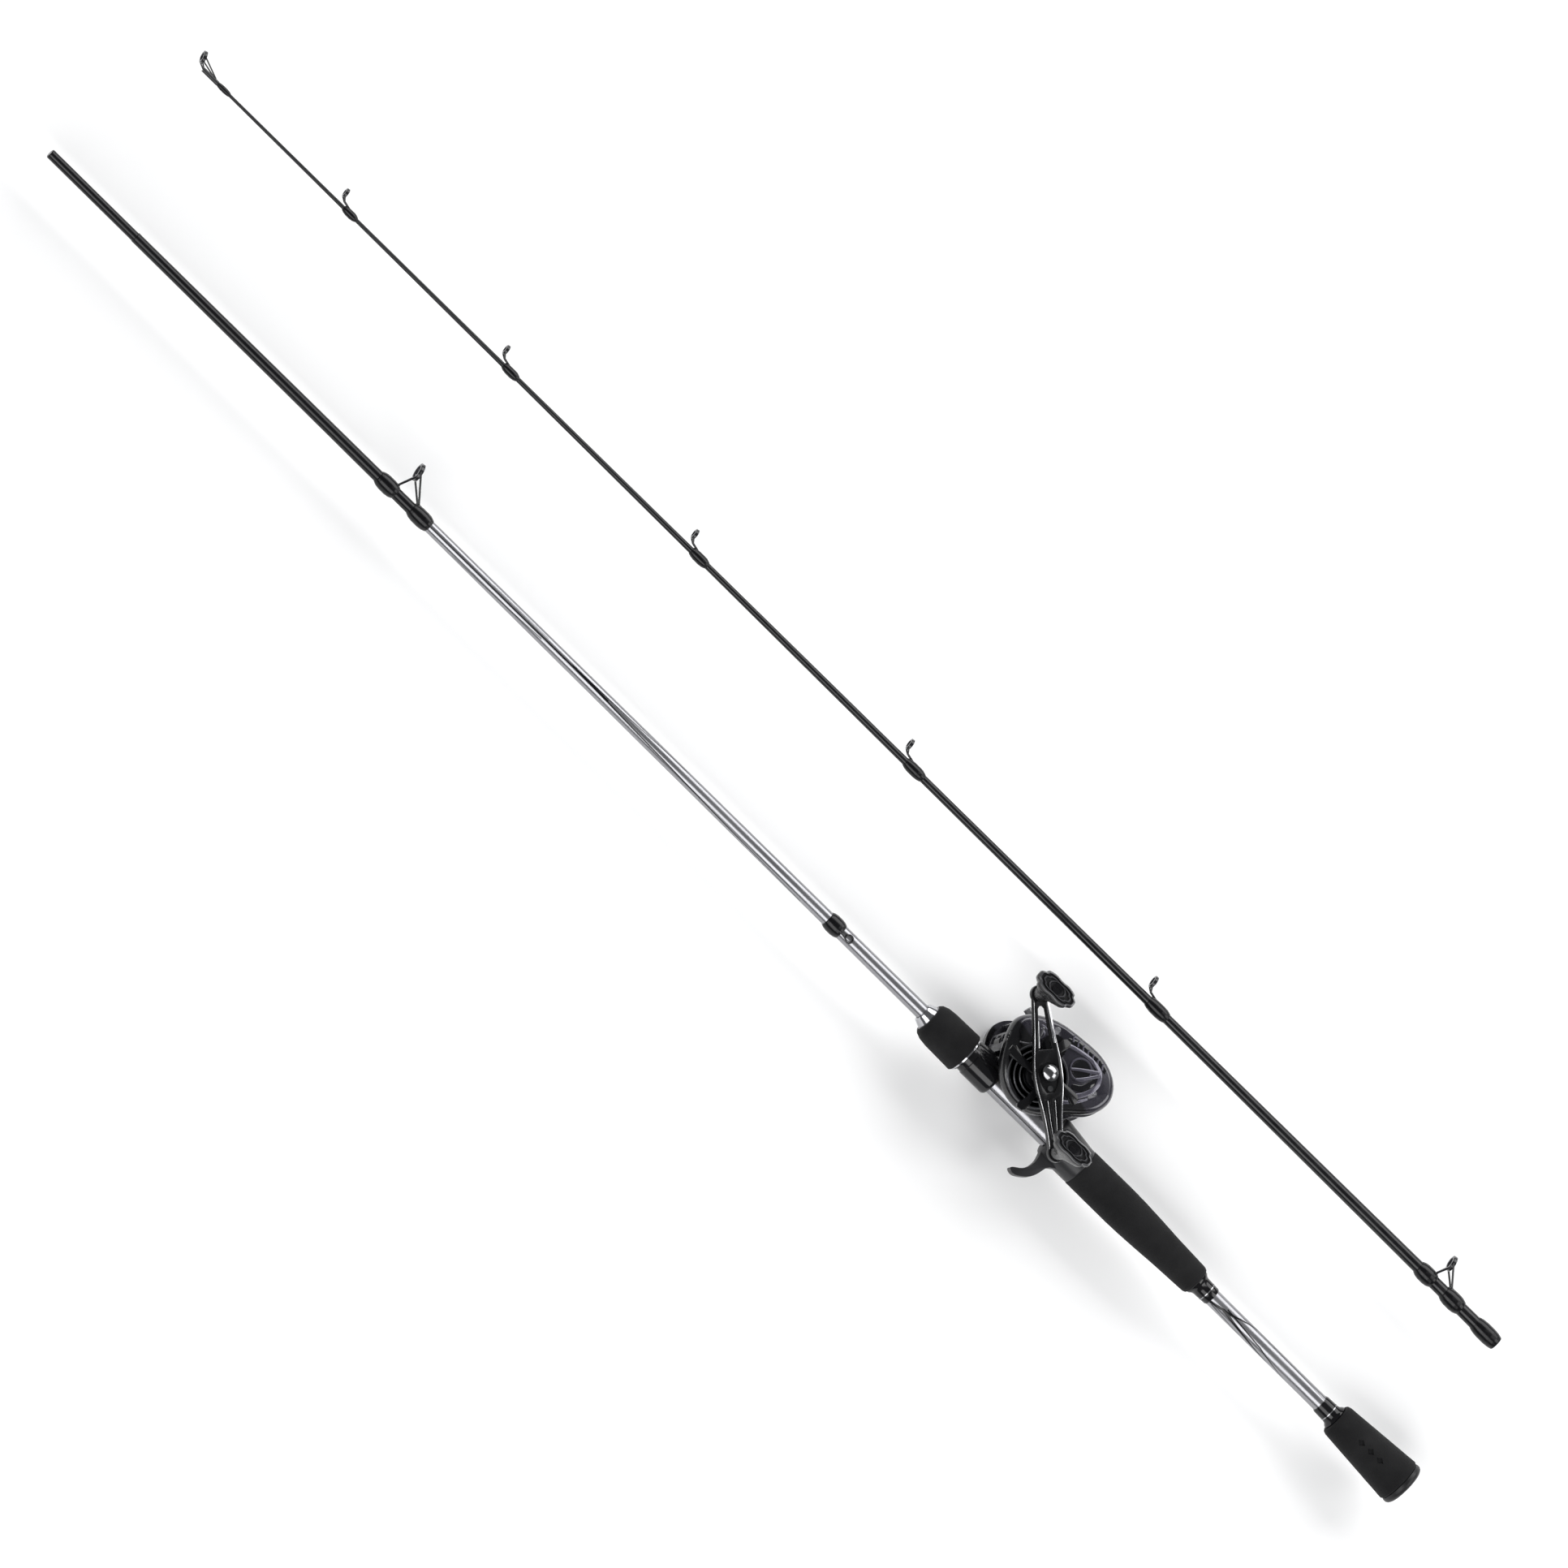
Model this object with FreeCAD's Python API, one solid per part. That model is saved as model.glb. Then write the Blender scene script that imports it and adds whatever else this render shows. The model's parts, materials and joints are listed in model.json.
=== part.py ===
# Two-piece casting rod with a low-profile baitcasting reel, modelled as separate pieces.
# The butt section lies along X with its reel on the +Y side and the crank handle on the +Z side.
# The tip section lies beside it, not yet assembled. The origin is the middle of the rear grip.
import FreeCAD, Part
import math
import os
from FreeCAD import Vector

os.makedirs("parts", exist_ok=True)

# ---- Driving dimensions, in millimetres. "From the butt" means measured from the butt end of the rod.
butt_length = 1124.0        # butt section, cap to the end of the spigot
tip_start = 14.4            # socket mouth of the tip section, level with this distance from the butt
tip_length = 1071.4         # tip blank, socket mouth to the end under the tip tube
tip_offset = 102.3          # distance between the axes of the two sections as they lie
grip_middle = 223.0         # middle of the rear grip from the butt: the origin
glue_gap = 0.05             # radial gap of a glued grip or sleeve
run_gap = 0.05              # radial gap of a shaft in its bearing
slide_gap = 0.10            # radial gap of the parts that slide or screw on the sleeve

# Butt section
blank_radius = 5.2
blank_front_radius = 4.75   # in front of the reel seat
blank_guide_radius = 3.75   # at the stripper guide
blank_end_radius = 3.3      # at the shoulder of the spigot
blank_wall = 1.3
spigot_radius = 3.0
spigot_length = 70.0
butt_grip_start = 5.3
butt_grip_end = 58.0
butt_grip_big = 14.5
butt_grip_small = 10.4
butt_check_end = 71.0
rear_check_start = 161.0
rear_grip_start = 174.0
rear_grip_end = 271.0
rear_grip_radius = 12.45
rear_grip_small = 9.6

# Reel seat
seat_end = 296.0
seat_radius = 12.3
seat_hood_top = 15.5
sleeve_radius = 7.2
sleeve_end = 390.0
trigger_thickness = 5.6
foot_thickness = 2.2
foot_half_width = 7.0
foot_rear = 275.0
foot_front = 361.0
hood_start = 343.0
hood_end = 364.8
hood_radius = 9.9
hood_top = 13.5
nut_end = 397.0
nut_radius = 8.6
fore_grip_start = 367.0
fore_grip_big = 13.2
fore_grip_small = 10.4
collar_length = 5.0

# Guides: height of the ring's centre over the blank's axis, and outer radius of the ring
stripper_at = 836.5
stripper_height = 19.0
stripper_ring = 5.7
second_at = 65.5
second_height = 15.9
second_ring = 4.9
running_share = [0.2755, 0.4639, 0.6300, 0.7754, 0.8988]     # of the tip blank's length, from its socket end
running_height = [10.6, 9.5, 8.7, 8.0, 7.5]
running_ring = [3.9, 3.6, 3.35, 3.15, 3.0]
wrap_thread = 0.45          # thickness of the thread and varnish over a guide foot

# Reel
drive_x = 330.0             # crank axis, from the butt
drive_y = 13.5              # crank axis, above the axis of the rod
gear_module = 0.5
main_teeth = 64
pinion_teeth = 10
wind_drive_teeth = 44
idler_teeth = 20
worm_teeth = 18
gear_backlash = 0.10        # taken off each tooth's thickness
wall_inner = 13.5           # inner face of each frame wall from the rod's centre plane
wall_thickness = 3.0
handle_face = 24.2          # outer face of the handle-side cover
palm_face = 28.5            # outer face of the palm-side cover
spool_radius = 16.0
spool_half_width = 12.6
spool_gap = 0.6             # between the flanges and the frame
shaft_radius = 1.5
drive_radius = 3.0
worm_x = 354.0
worm_y = 21.0
worm_radius = 2.2
guide_travel = 8.5          # line guide, each way from the middle
star_radius = 25.5
star_low = 31.2
arm_low = 38.0
arm_thickness = 3.4
handle_throw = 46.6         # crank axis to each knob's axis
handle_angle = 42.0         # of the crank from the rod, upper knob towards the tip
knob_low = 42.4
knob_high = 69.5
knob_half_length = 13.0
knob_half_height = 6.3
post_radius = 2.0
tension_radius = 7.6
thumb_travel = 4.0

shaft_lean = 5.5            # the spool axis is this much nearer the tip than the crank axis
mesh_distance = gear_module * (main_teeth + pinion_teeth) / 2.0
spool_x = drive_x + shaft_lean
spool_y = drive_y + math.sqrt(mesh_distance ** 2 - shaft_lean ** 2)
wall_outer = wall_inner + wall_thickness


# ---- Helpers
def along(distance):
    """Row X of a distance from the butt end."""
    return grip_middle - distance


def point(distance, y, z=0.0):
    return Vector(along(distance), y, z)


def turned(profile, axis_y=0.0, axis_z=0.0):
    """Solid of revolution about a line parallel to X; profile is a closed ring of (distance, radius)."""
    corners = [point(distance, axis_y + radius, axis_z) for distance, radius in profile]
    face = Part.Face(Part.makePolygon(corners + [corners[0]]))
    solid = face.revolve(Vector(0, axis_y, axis_z), Vector(1, 0, 0), 360)
    return Part.Solid(solid) if solid.ShapeType == "Shell" else solid


def sleeve(start, end, outer, inner, axis_y=0.0, axis_z=0.0):
    return turned([(start, inner), (start, outer), (end, outer), (end, inner)], axis_y, axis_z)


def disc(x, y, low, high, radius):
    return Part.makeCylinder(radius, high - low, point(x, y, low), Vector(0, 0, 1))


def ring(x, y, low, high, outer, inner):
    return disc(x, y, low, high, outer).cut(disc(x, y, low - 1, high + 1, inner))


def slab(outline, low, high):
    corners = [point(x, y, low) for x, y in outline]
    face = Part.Face(Part.makePolygon(corners + [corners[0]]))
    return face.extrude(Vector(0, 0, high - low))


def curve_wire(outline, z):
    curve = Part.BSplineCurve()
    curve.interpolate([point(x, y, z) for x, y in outline], PeriodicFlag=True)
    return Part.Wire(curve.toShape())


def curved_slab(outline, low, high):
    return Part.Face(curve_wire(outline, low)).extrude(Vector(0, 0, high - low))


def scaled(outline, factor):
    middle_x = sum(x for x, y in outline) / len(outline)
    middle_y = sum(y for x, y in outline) / len(outline)
    return [(middle_x + (x - middle_x) * factor, middle_y + (y - middle_y) * factor) for x, y in outline]


def block(x_low, x_high, y_low, y_high, z_low, z_high):
    size = (x_high - x_low, y_high - y_low, z_high - z_low)
    return Part.makeBox(*size, point(x_high, y_low, z_low))


def rod(first, second, radius):
    """Round bar between two points with ball ends."""
    span = second.sub(first)
    bar = Part.makeCylinder(radius, span.Length, first, span)
    return bar.fuse([Part.makeSphere(radius, first), Part.makeSphere(radius, second)])


def joined(shapes):
    return shapes[0].fuse(shapes[1:]).removeSplitter()


def without(shape, cutters):
    for cutter in cutters:
        shape = shape.cut(cutter)
    return shape


def gear_blank(teeth):
    """Closed ring of (radius, angle) for a spur gear whose first tooth is centred on angle 0."""
    pitch = gear_module * teeth / 2.0
    root = pitch - 1.2 * gear_module
    tip = pitch + 0.95 * gear_module
    base = pitch * math.cos(math.radians(20))

    def half_thickness(radius):
        lean = math.acos(min(1.0, base / max(radius, base)))
        rise = math.tan(lean) - lean
        rise_pitch = math.tan(math.radians(20)) - math.radians(20)
        thick = (math.pi * gear_module / 2.0 - gear_backlash) / (2.0 * pitch)
        return thick + rise_pitch - rise

    flank = [root, max(base, root + 0.05), pitch, (pitch + tip) / 2.0, tip]
    ring_points = []
    for tooth in range(teeth):
        middle = 2.0 * math.pi * tooth / teeth
        ring_points += [(radius, middle - half_thickness(radius)) for radius in flank]
        ring_points += [(radius, middle + half_thickness(radius)) for radius in reversed(flank)]
    return ring_points


def gear(x, y, low, high, teeth, phase, bore):
    """Spur gear; phase is the row-frame angle of the first tooth about +Z."""
    corners = []
    for radius, angle in gear_blank(teeth):
        turn = angle + phase
        corners.append(Vector(along(x) + radius * math.cos(turn), y + radius * math.sin(turn), low))
    solid = Part.Face(Part.makePolygon(corners + [corners[0]])).extrude(Vector(0, 0, high - low))
    return solid.cut(disc(x, y, low - 1, high + 1, bore))


def meshed_phase(first, first_teeth, first_phase, second, second_teeth):
    """Phase that puts a gap of the second gear on the tooth line of the first."""
    line = math.atan2(second[1] - first[1], along(second[0]) - along(first[0]))
    step = (line - first_phase) * first_teeth / (2.0 * math.pi)
    return line + math.pi - (0.5 - step) * 2.0 * math.pi / second_teeth


def save(name, shape):
    shape.exportStep("parts/" + name + ".step")


# ---- Butt section: blank and grips
spigot_start = butt_length - spigot_length
step_end = sleeve_end + 3.0
blank_outer = [(butt_grip_start, blank_radius), (sleeve_end, blank_radius), (step_end, blank_front_radius),
               (817.0, blank_guide_radius), (spigot_start - 0.4, blank_end_radius),
               (spigot_start, spigot_radius), (butt_length - 0.5, spigot_radius),
               (butt_length, spigot_radius - 0.5)]
blank_inner = [(butt_length, 0.0), (butt_length - 3.0, 0.0), (butt_length - 3.0, spigot_radius - blank_wall),
               (spigot_start, blank_end_radius - blank_wall), (sleeve_end, blank_front_radius - blank_wall),
               (butt_grip_start + 6.0, blank_radius - blank_wall), (butt_grip_start + 6.0, 0.0),
               (butt_grip_start, 0.0)]
butt_blank = turned(blank_outer + blank_inner)
save("butt_blank", butt_blank)

bore = blank_radius + glue_gap
cap_radius = butt_grip_big - 0.2
cap_profile = [(butt_grip_start, 0.0), (butt_grip_start, cap_radius), (2.6, cap_radius - 0.3)]
cap_profile += [(1.1, cap_radius - 1.6), (0.3, cap_radius - 4.5), (0.0, cap_radius - 9.0), (0.0, 0.0)]
save("butt_cap", turned(cap_profile))

butt_grip = turned([(butt_grip_start, bore), (butt_grip_start, butt_grip_big - 0.5),
                    (butt_grip_start + 0.8, butt_grip_big), (butt_grip_end - 2.5, butt_grip_small + 0.35),
                    (butt_grip_end - 0.6, butt_grip_small - 0.3), (butt_grip_end, butt_grip_small - 1.2),
                    (butt_grip_end, bore)])
for recess_at in (24.0, 31.5, 39.0):
    radius_there = butt_grip_big + (butt_grip_small - butt_grip_big) * (recess_at - 6.0) / 49.5
    recess = [(recess_at - 2.6, 0.0), (recess_at, 2.1), (recess_at + 2.6, 0.0), (recess_at, -2.1)]
    butt_grip = butt_grip.cut(slab(recess, radius_there - 1.0, radius_there + 3.0))
save("butt_grip", butt_grip)

save("butt_grip_check", turned([(butt_grip_end, bore), (butt_grip_end, 7.9), (butt_grip_end + 1.2, 8.1),
                                (butt_grip_end + 4.6, 7.4), (butt_grip_end + 5.0, 7.0),
                                (butt_grip_end + 6.4, 7.0), (butt_grip_end + 6.8, 7.1),
                                (butt_check_end - 1.0, 5.7), (butt_check_end, bore)]))
save("rear_grip_check", turned([(rear_check_start, bore), (rear_check_start + 1.0, 5.7),
                                (rear_check_start + 5.6, 6.3), (rear_check_start + 6.0, 6.0),
                                (rear_check_start + 7.2, 6.0), (rear_check_start + 7.6, 6.6),
                                (rear_grip_start - 1.0, 7.4), (rear_grip_start, 7.2),
                                (rear_grip_start, bore)]))
save("rear_grip", turned([(rear_grip_start, bore), (rear_grip_start, 7.8), (rear_grip_start + 0.8, 9.0),
                          (rear_grip_start + 2.4, rear_grip_small), (200.0, 10.6), (214.0, 11.5),
                          (228.0, 12.2), (238.0, rear_grip_radius), (rear_grip_end - 0.4, rear_grip_radius),
                          (rear_grip_end, rear_grip_radius - 0.4), (rear_grip_end, bore)]))

# ---- Reel seat: sleeve, fixed rear hood with its trigger, moving hood, nut and fore grip
sleeve_bore = blank_radius + glue_gap
save("seat_sleeve", sleeve(rear_grip_end, sleeve_end, sleeve_radius, sleeve_bore))

foot_low = sleeve_radius + 0.05
foot_high = foot_low + foot_thickness
pad_top = foot_high + 0.25


def foot_shape(grow, rear, front):
    shell = sleeve(rear, front, foot_high + grow, foot_low - grow)
    keep = block(rear, front, 2.0 - grow, foot_high + 5, -foot_half_width - grow, foot_half_width + grow)
    return shell.common(keep)


seat = turned([(rear_grip_end, sleeve_radius + glue_gap), (rear_grip_end, seat_radius - 0.2),
               (rear_grip_end + 1.0, seat_radius), (seat_end - 3.0, seat_radius),
               (seat_end - 0.6, seat_radius - 1.4), (seat_end, seat_radius - 2.8),
               (seat_end, sleeve_radius + glue_gap)])
hood_axis = 6.0
hood_cone = turned([(rear_grip_end + 1.5, 0.0), (rear_grip_end + 1.5, 6.6), (seat_end - 4.0, 9.2),
                    (seat_end - 1.0, seat_hood_top - hood_axis), (seat_end, 9.0), (seat_end, 0.0)], hood_axis)
trigger_outline = [(297.0, -6.0), (295.0, -11.0), (293.7, -17.0), (294.8, -22.5), (297.6, -26.6), (301.2, -29.2),
                   (302.6, -30.9), (300.6, -32.3), (295.6, -31.0), (290.6, -26.8), (287.6, -20.6),
                   (285.6, -15.0), (281.0, -11.4), (279.0, -8.0)]
half = trigger_thickness / 2.0
trigger_corners = [point(x, y, -half) for x, y in trigger_outline]
trigger_curve = Part.BSplineCurve()
trigger_curve.interpolate(trigger_corners)
trigger_edges = [trigger_curve.toShape(), Part.makeLine(trigger_corners[-1], trigger_corners[0])]
trigger = Part.Face(Part.Wire(trigger_edges)).extrude(Vector(0, 0, trigger_thickness))
seat = joined([seat, hood_cone, trigger])
seat = without(seat, [sleeve(rear_grip_end - 1, seat_end + 9, sleeve_radius + glue_gap, 0.0),
                      foot_shape(0.12, foot_rear - 0.5, seat_end + 1)])
save("reel_seat", seat)

hood_lift = 4.2
front_hood = turned([(hood_start + 7.5, 0.0), (hood_start + 7.5, hood_top - hood_lift),
                     (hood_end - 1.0, 12.1 - hood_lift), (hood_end, 11.7 - hood_lift), (hood_end, 0.0)], hood_lift)
hood_body = turned([(hood_start, 0.0), (hood_start, hood_radius - 0.9), (hood_start + 1.2, hood_radius - 0.1),
                    (hood_start + 3.0, hood_radius), (hood_end - 3.6, hood_radius),
                    (hood_end - 3.2, hood_radius - 0.5), (hood_end, hood_radius - 0.5), (hood_end, 0.0)])
hood_body = hood_body.cut(block(hood_start - 1, hood_start + 7.5, 3.0, 20.0, -20.0, 20.0))
front_hood = joined([front_hood, hood_body])
front_hood = without(front_hood, [sleeve(hood_start - 1, hood_end + 1, sleeve_radius + slide_gap, 0.0),
                                  foot_shape(0.3, hood_start - 1, foot_front + 0.6)])
save("front_hood", front_hood)

nut_bore = sleeve_radius + slide_gap
flange_start = hood_end + 0.2
save("hood_nut", turned([(flange_start, nut_bore), (flange_start, 10.6), (fore_grip_start - 1.0, 10.6),
                         (fore_grip_start - 1.0, nut_radius), (nut_end, nut_radius), (nut_end, nut_bore)]))
save("nut_ring", sleeve(fore_grip_start - 1.0, fore_grip_start, 11.9, nut_radius + 0.02))
save("fore_grip", turned([(fore_grip_start, nut_radius + 0.02), (fore_grip_start, fore_grip_big - 0.5),
                          (fore_grip_start + 0.6, fore_grip_big), (nut_end - 10.0, fore_grip_big - 0.35),
                          (nut_end - 5.0, fore_grip_big - 0.9), (nut_end - 1.6, fore_grip_small + 0.6),
                          (nut_end - 0.4, fore_grip_small - 0.6), (nut_end, fore_grip_small - 1.8),
                          (nut_end, nut_radius + 0.02)]))
collar_bore = blank_front_radius + 0.25
save("fore_grip_collar", turned([(nut_end, collar_bore), (nut_end, 7.9), (nut_end + 1.0, 7.9),
                                 (nut_end + collar_length - 0.5, 6.4), (nut_end + collar_length, 6.1),
                                 (nut_end + collar_length, collar_bore)]))


# ---- Hook keeper and guides. A guide's local frame: distance from the butt, height over the blank's axis.
def blank_radius_at(distance, outline):
    for (start, first), (end, second) in zip(outline, outline[1:]):
        if start <= distance <= end:
            return first + (second - first) * (distance - start) / (end - start)
    return outline[-1][1]


def wrap_profile(start, end, outline, crown):
    """Varnished thread over a guide foot: a low bulge closed down to the blank."""
    low_start = blank_radius_at(start, outline)
    low_end = blank_radius_at(end, outline)
    steps = [(0.0, 0.12), (0.04, 0.35), (0.16, 0.75), (0.35, 1.0), (0.65, 1.0), (0.84, 0.75), (0.96, 0.35), (1.0, 0.12)]
    outer = []
    for share, swell in steps:
        distance = start + (end - start) * share
        outer.append((distance, blank_radius_at(distance, outline) + crown * swell))
    return [(start, low_start)] + outer + [(end, low_end)]


def wrap(start, end, outline, crown, axis_y, cutters):
    return without(turned(wrap_profile(start, end, outline, crown), axis_y), cutters)


keeper_wrap_start = 469.6
keeper_wrap_end = 481.0
keeper_radius = blank_radius_at(475.0, blank_outer)
keeper_side = -1.4
keeper_wire = 0.5
keeper_loop = 2.4
keeper_high = keeper_radius + keeper_wire + 0.15
keeper_low = keeper_radius + 0.15
loop_centre = point(464.2, keeper_side, keeper_high)
keeper_pieces = [Part.makeTorus(keeper_loop, keeper_wire, loop_centre, Vector(0, 0, 1))]
for leg in (-1.0, 1.0):
    leg_start = point(466.0, keeper_side + 1.5 * leg, keeper_high)
    leg_end = point(470.4, keeper_side + 0.6 * leg, keeper_low)
    foot_end = point(479.0, keeper_side + 0.6 * leg, keeper_low)
    keeper_pieces += [rod(leg_start, leg_end, keeper_wire), rod(leg_end, foot_end, keeper_wire)]
hook_keeper = without(joined(keeper_pieces), [butt_blank])
save("hook_keeper", hook_keeper)
keeper_wrap = wrap(keeper_wrap_start, keeper_wrap_end, blank_outer, 1.25, 0.0, [butt_blank, hook_keeper])

tip_end = tip_start + tip_length
running_at = [tip_start + share * tip_length for share in running_share]
running_blank = [2.95, 2.4, 1.95, 1.5, 1.2]
tip_outer = ([(tip_start, 4.25), (tip_start + 20.0, 4.15), (tip_start + 39.4, 4.0)]
             + list(zip(running_at, running_blank)) + [(tip_end, 0.95)])
socket_radius = spigot_radius + run_gap
socket_depth = spigot_length + 1.0
socket_end = tip_start + socket_depth
bore_end = running_at[1] + 83.0
tip_inner = [(tip_end, 0.0), (bore_end, 0.0), (bore_end, 0.8), (socket_end + 2.0, 2.4), (socket_end, socket_radius),
             (tip_start, socket_radius)]
tip_blank = turned(tip_outer + tip_inner, tip_offset)
save("tip_blank", tip_blank)


def guide_ring(distance, height, outer, inner, width, lean, axis_y):
    """Ring facing along the rod; lean tips its top towards the tip, in degrees."""
    centre = point(distance, axis_y + height)
    away = Vector(-math.cos(math.radians(lean)), -math.sin(math.radians(lean)), 0)
    start = centre.sub(Vector(away).multiply(width / 2.0))
    body = Part.makeCylinder(outer, width, start, away)
    hole = Part.makeCylinder(inner, width + 2, start.sub(away), away)
    return body.cut(hole)


def guide_foot(start, end, half_width, thickness, outline, axis_y):
    low = min(blank_radius_at(start, outline), blank_radius_at(end, outline)) - 0.25
    high = max(blank_radius_at(start, outline), blank_radius_at(end, outline)) + thickness
    return block(start, end, axis_y + low, axis_y + high, -half_width, half_width)


frame_wall = 0.8
insert_wall = 1.05


def double_foot_guide(at, height, ring_outer, wrap_start, wrap_end, rear_leg, front_leg, outline, axis_y, blank):
    """Frame of one piece, ceramic ring, and the two wraps over its feet."""
    base = blank_radius_at(at, outline)
    lean = 12.0
    holder = guide_ring(at, height, ring_outer, ring_outer - frame_wall, 1.8, lean, axis_y)
    insert = guide_ring(at, height, ring_outer - frame_wall, ring_outer - frame_wall - insert_wall, 2.6, lean, axis_y)
    foot_top = base + 0.75
    pieces = [holder]
    side = ring_outer - 0.4
    for sign in (-1.0, 1.0):
        hip = point(at, axis_y + height - 0.8, sign * side)
        pieces.append(rod(hip, point(rear_leg, axis_y + foot_top, sign * 1.1), 0.65))
        knee = point(at, axis_y + height - ring_outer * 0.72, sign * ring_outer * 0.62)
        pieces.append(rod(knee, point(front_leg, axis_y + foot_top, sign * 0.9), 0.65))
    rear_foot = guide_foot(wrap_start + 3.0, rear_leg + 1.0, 1.7, 1.1, outline, axis_y)
    front_foot = guide_foot(front_leg - 1.0, wrap_end - 3.0, 1.6, 1.1, outline, axis_y)
    frame = joined(pieces + [rear_foot, front_foot])
    frame = without(frame, [blank, insert])
    rear_wrap = wrap(wrap_start, rear_leg + 2.2, outline, 1.1 + wrap_thread, axis_y, [blank, frame])
    front_wrap = wrap(front_leg - 2.2, wrap_end, outline, 1.1 + wrap_thread, axis_y, [blank, frame])
    return frame, insert, [rear_wrap, front_wrap]


frame, insert, wraps = double_foot_guide(stripper_at, stripper_height, stripper_ring, stripper_at - 25.5,
                                         stripper_at + 16.5, stripper_at - 12.5, stripper_at + 4.5,
                                         blank_outer, 0.0, butt_blank)
save("stripper_frame", frame)
save("stripper_ring", insert)
save("butt_wraps", Part.makeCompound(wraps + [keeper_wrap]))

ferrule_end = tip_start + 17.7
save("ferrule_wrap", wrap(tip_start, ferrule_end, tip_outer, 1.3, tip_offset, [tip_blank]))
frame, insert, wraps = double_foot_guide(second_at, second_height, second_ring, second_at - 21.5,
                                         second_at + 14.0, second_at - 9.5, second_at + 3.5,
                                         tip_outer, tip_offset, tip_blank)
save("guide_2_frame", frame)

guide_rings = [insert]
guide_wraps = wraps
running_frames = []
for number, (at, height, ring_outer) in enumerate(zip(running_at, running_height, running_ring)):
    base = blank_radius_at(at, tip_outer)
    wrap_length = 17.0 - 1.2 * number
    holder = guide_ring(at, height, ring_outer, ring_outer - 0.6, 1.5, 8.0, tip_offset)
    insert = guide_ring(at, height, ring_outer - 0.6, ring_outer - 1.45, 2.1, 8.0, tip_offset)
    heel = base + 1.9
    foot_end = at - 3.0 - wrap_length + 2.5
    pieces = [holder, guide_foot(foot_end, at - 6.5, 1.2, 0.9, tip_outer, tip_offset)]
    for sign in (-1.0, 1.0):
        start = point(at - 0.3, tip_offset + height - ring_outer * 0.75, sign * ring_outer * 0.62)
        bend = point(at - 2.6, tip_offset + heel, sign * 0.55)
        pieces.append(rod(start, bend, 0.5))
        pieces.append(rod(bend, point(at - 8.0, tip_offset + base + 0.6, sign * 0.5), 0.5))
    frame = without(joined(pieces), [tip_blank, insert])
    running_frames.append(frame)
    guide_rings.append(insert)
    guide_wraps.append(wrap(at - 3.0 - wrap_length, at - 4.5, tip_outer, 0.9 + wrap_thread * 0.8, tip_offset,
                            [tip_blank, frame]))

tube_start = tip_end - 9.0
tube_end = tube_start + 11.0
tip_ring_at = tube_end + 5.5
tip_ring_height = 5.5
tube_bore = 1.0
tube = sleeve(tube_start, tube_end, tube_bore + 0.45, tube_bore, tip_offset)
tube = tube.fuse(Part.makeCylinder(tube_bore + 0.45, 1.0, point(tube_end, tip_offset), Vector(-1, 0, 0)))
holder = guide_ring(tip_ring_at, tip_ring_height, 3.9, 3.2, 1.5, 20.0, tip_offset)
tip_insert = guide_ring(tip_ring_at, tip_ring_height, 3.2, 2.3, 2.1, 20.0, tip_offset)
pieces = [tube, holder]
for sign in (-1.0, 1.0):
    pieces.append(rod(point(tube_end - 8.0, tip_offset + 1.2, sign * 0.7),
                      point(tip_ring_at + 0.2, tip_offset + tip_ring_height, sign * 3.5), 0.45))
    pieces.append(rod(point(tube_end + 0.4, tip_offset, sign * 0.6),
                      point(tip_ring_at - 0.9, tip_offset + tip_ring_height - 3.0, sign * 1.9), 0.45))
tip_top = without(joined(pieces), [tip_blank, tip_insert])
guide_wraps.append(wrap(tube_start - 10.0, tube_start, tip_outer, 0.75, tip_offset, [tip_blank]))
save("guide_wraps", Part.makeCompound(guide_wraps))
save("running_frames", Part.makeCompound(running_frames + [tip_top]))
save("guide_rings", Part.makeCompound(guide_rings + [tip_insert]))

# ---- Reel frame, foot and covers
body_outline = [(287.0, 31.0), (288.0, 38.0), (293.0, 44.6), (301.0, 49.0), (311.0, 51.0), (321.0, 50.6),
                (331.0, 49.6), (341.0, 47.6), (350.0, 43.6), (357.4, 38.0), (361.2, 31.0), (360.4, 23.0),
                (355.6, 15.6), (344.0, 11.2), (330.0, 9.9), (312.0, 10.3), (298.0, 13.4), (290.0, 21.0)]
handle_outline = body_outline[:12] + [(357.0, 14.0), (351.5, 4.5), (342.5, -3.8), (331.0, -7.6), (319.5, -5.5),
                                      (310.5, 1.2), (304.0, 8.5), (297.0, 14.8), (290.0, 22.4)]
shaft_hole = shaft_radius + run_gap
bearing_radius = 4.0
guide_rod_radius = 0.8
guide_rod_y = worm_y + 4.9

handle_wall = curved_slab(body_outline, wall_inner, wall_outer)
palm_wall = curved_slab(body_outline, -wall_outer, -wall_inner)
palm_wall = palm_wall.cut(disc(spool_x, spool_y, -wall_outer - 1, -wall_inner + 1, spool_radius + 0.5))
bottom_plate = slab([(296.0, 16.2), (297.2, 13.6), (299.5, 11.9), (312.0, pad_top), (349.6, pad_top),
                     (349.6, 12.2), (345.0, 12.4), (312.0, 12.4), (301.0, 14.9), (298.4, 16.8)],
                    -wall_inner, wall_inner)
rear_deck = slab([(297.0, 14.2), (291.4, 22.0), (289.2, 31.0), (290.6, 37.6), (295.2, 43.2), (303.0, 47.0),
                  (303.0, 44.4), (297.0, 41.2), (293.2, 36.6), (291.8, 31.0), (293.8, 23.2), (299.4, 15.6)],
                 -wall_inner, wall_inner)
top_bar = slab([(344.6, 46.4), (350.0, 43.2), (357.0, 37.8), (360.3, 32.9), (357.8, 32.2), (354.8, 36.6),
                (350.6, 40.6), (345.4, 45.0)], -wall_inner, wall_inner)
stem_start = Vector(along(346.2), 45.0, -3.0)
stem_way = Vector(-math.cos(math.radians(14)), math.sin(math.radians(14)), 0)
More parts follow.
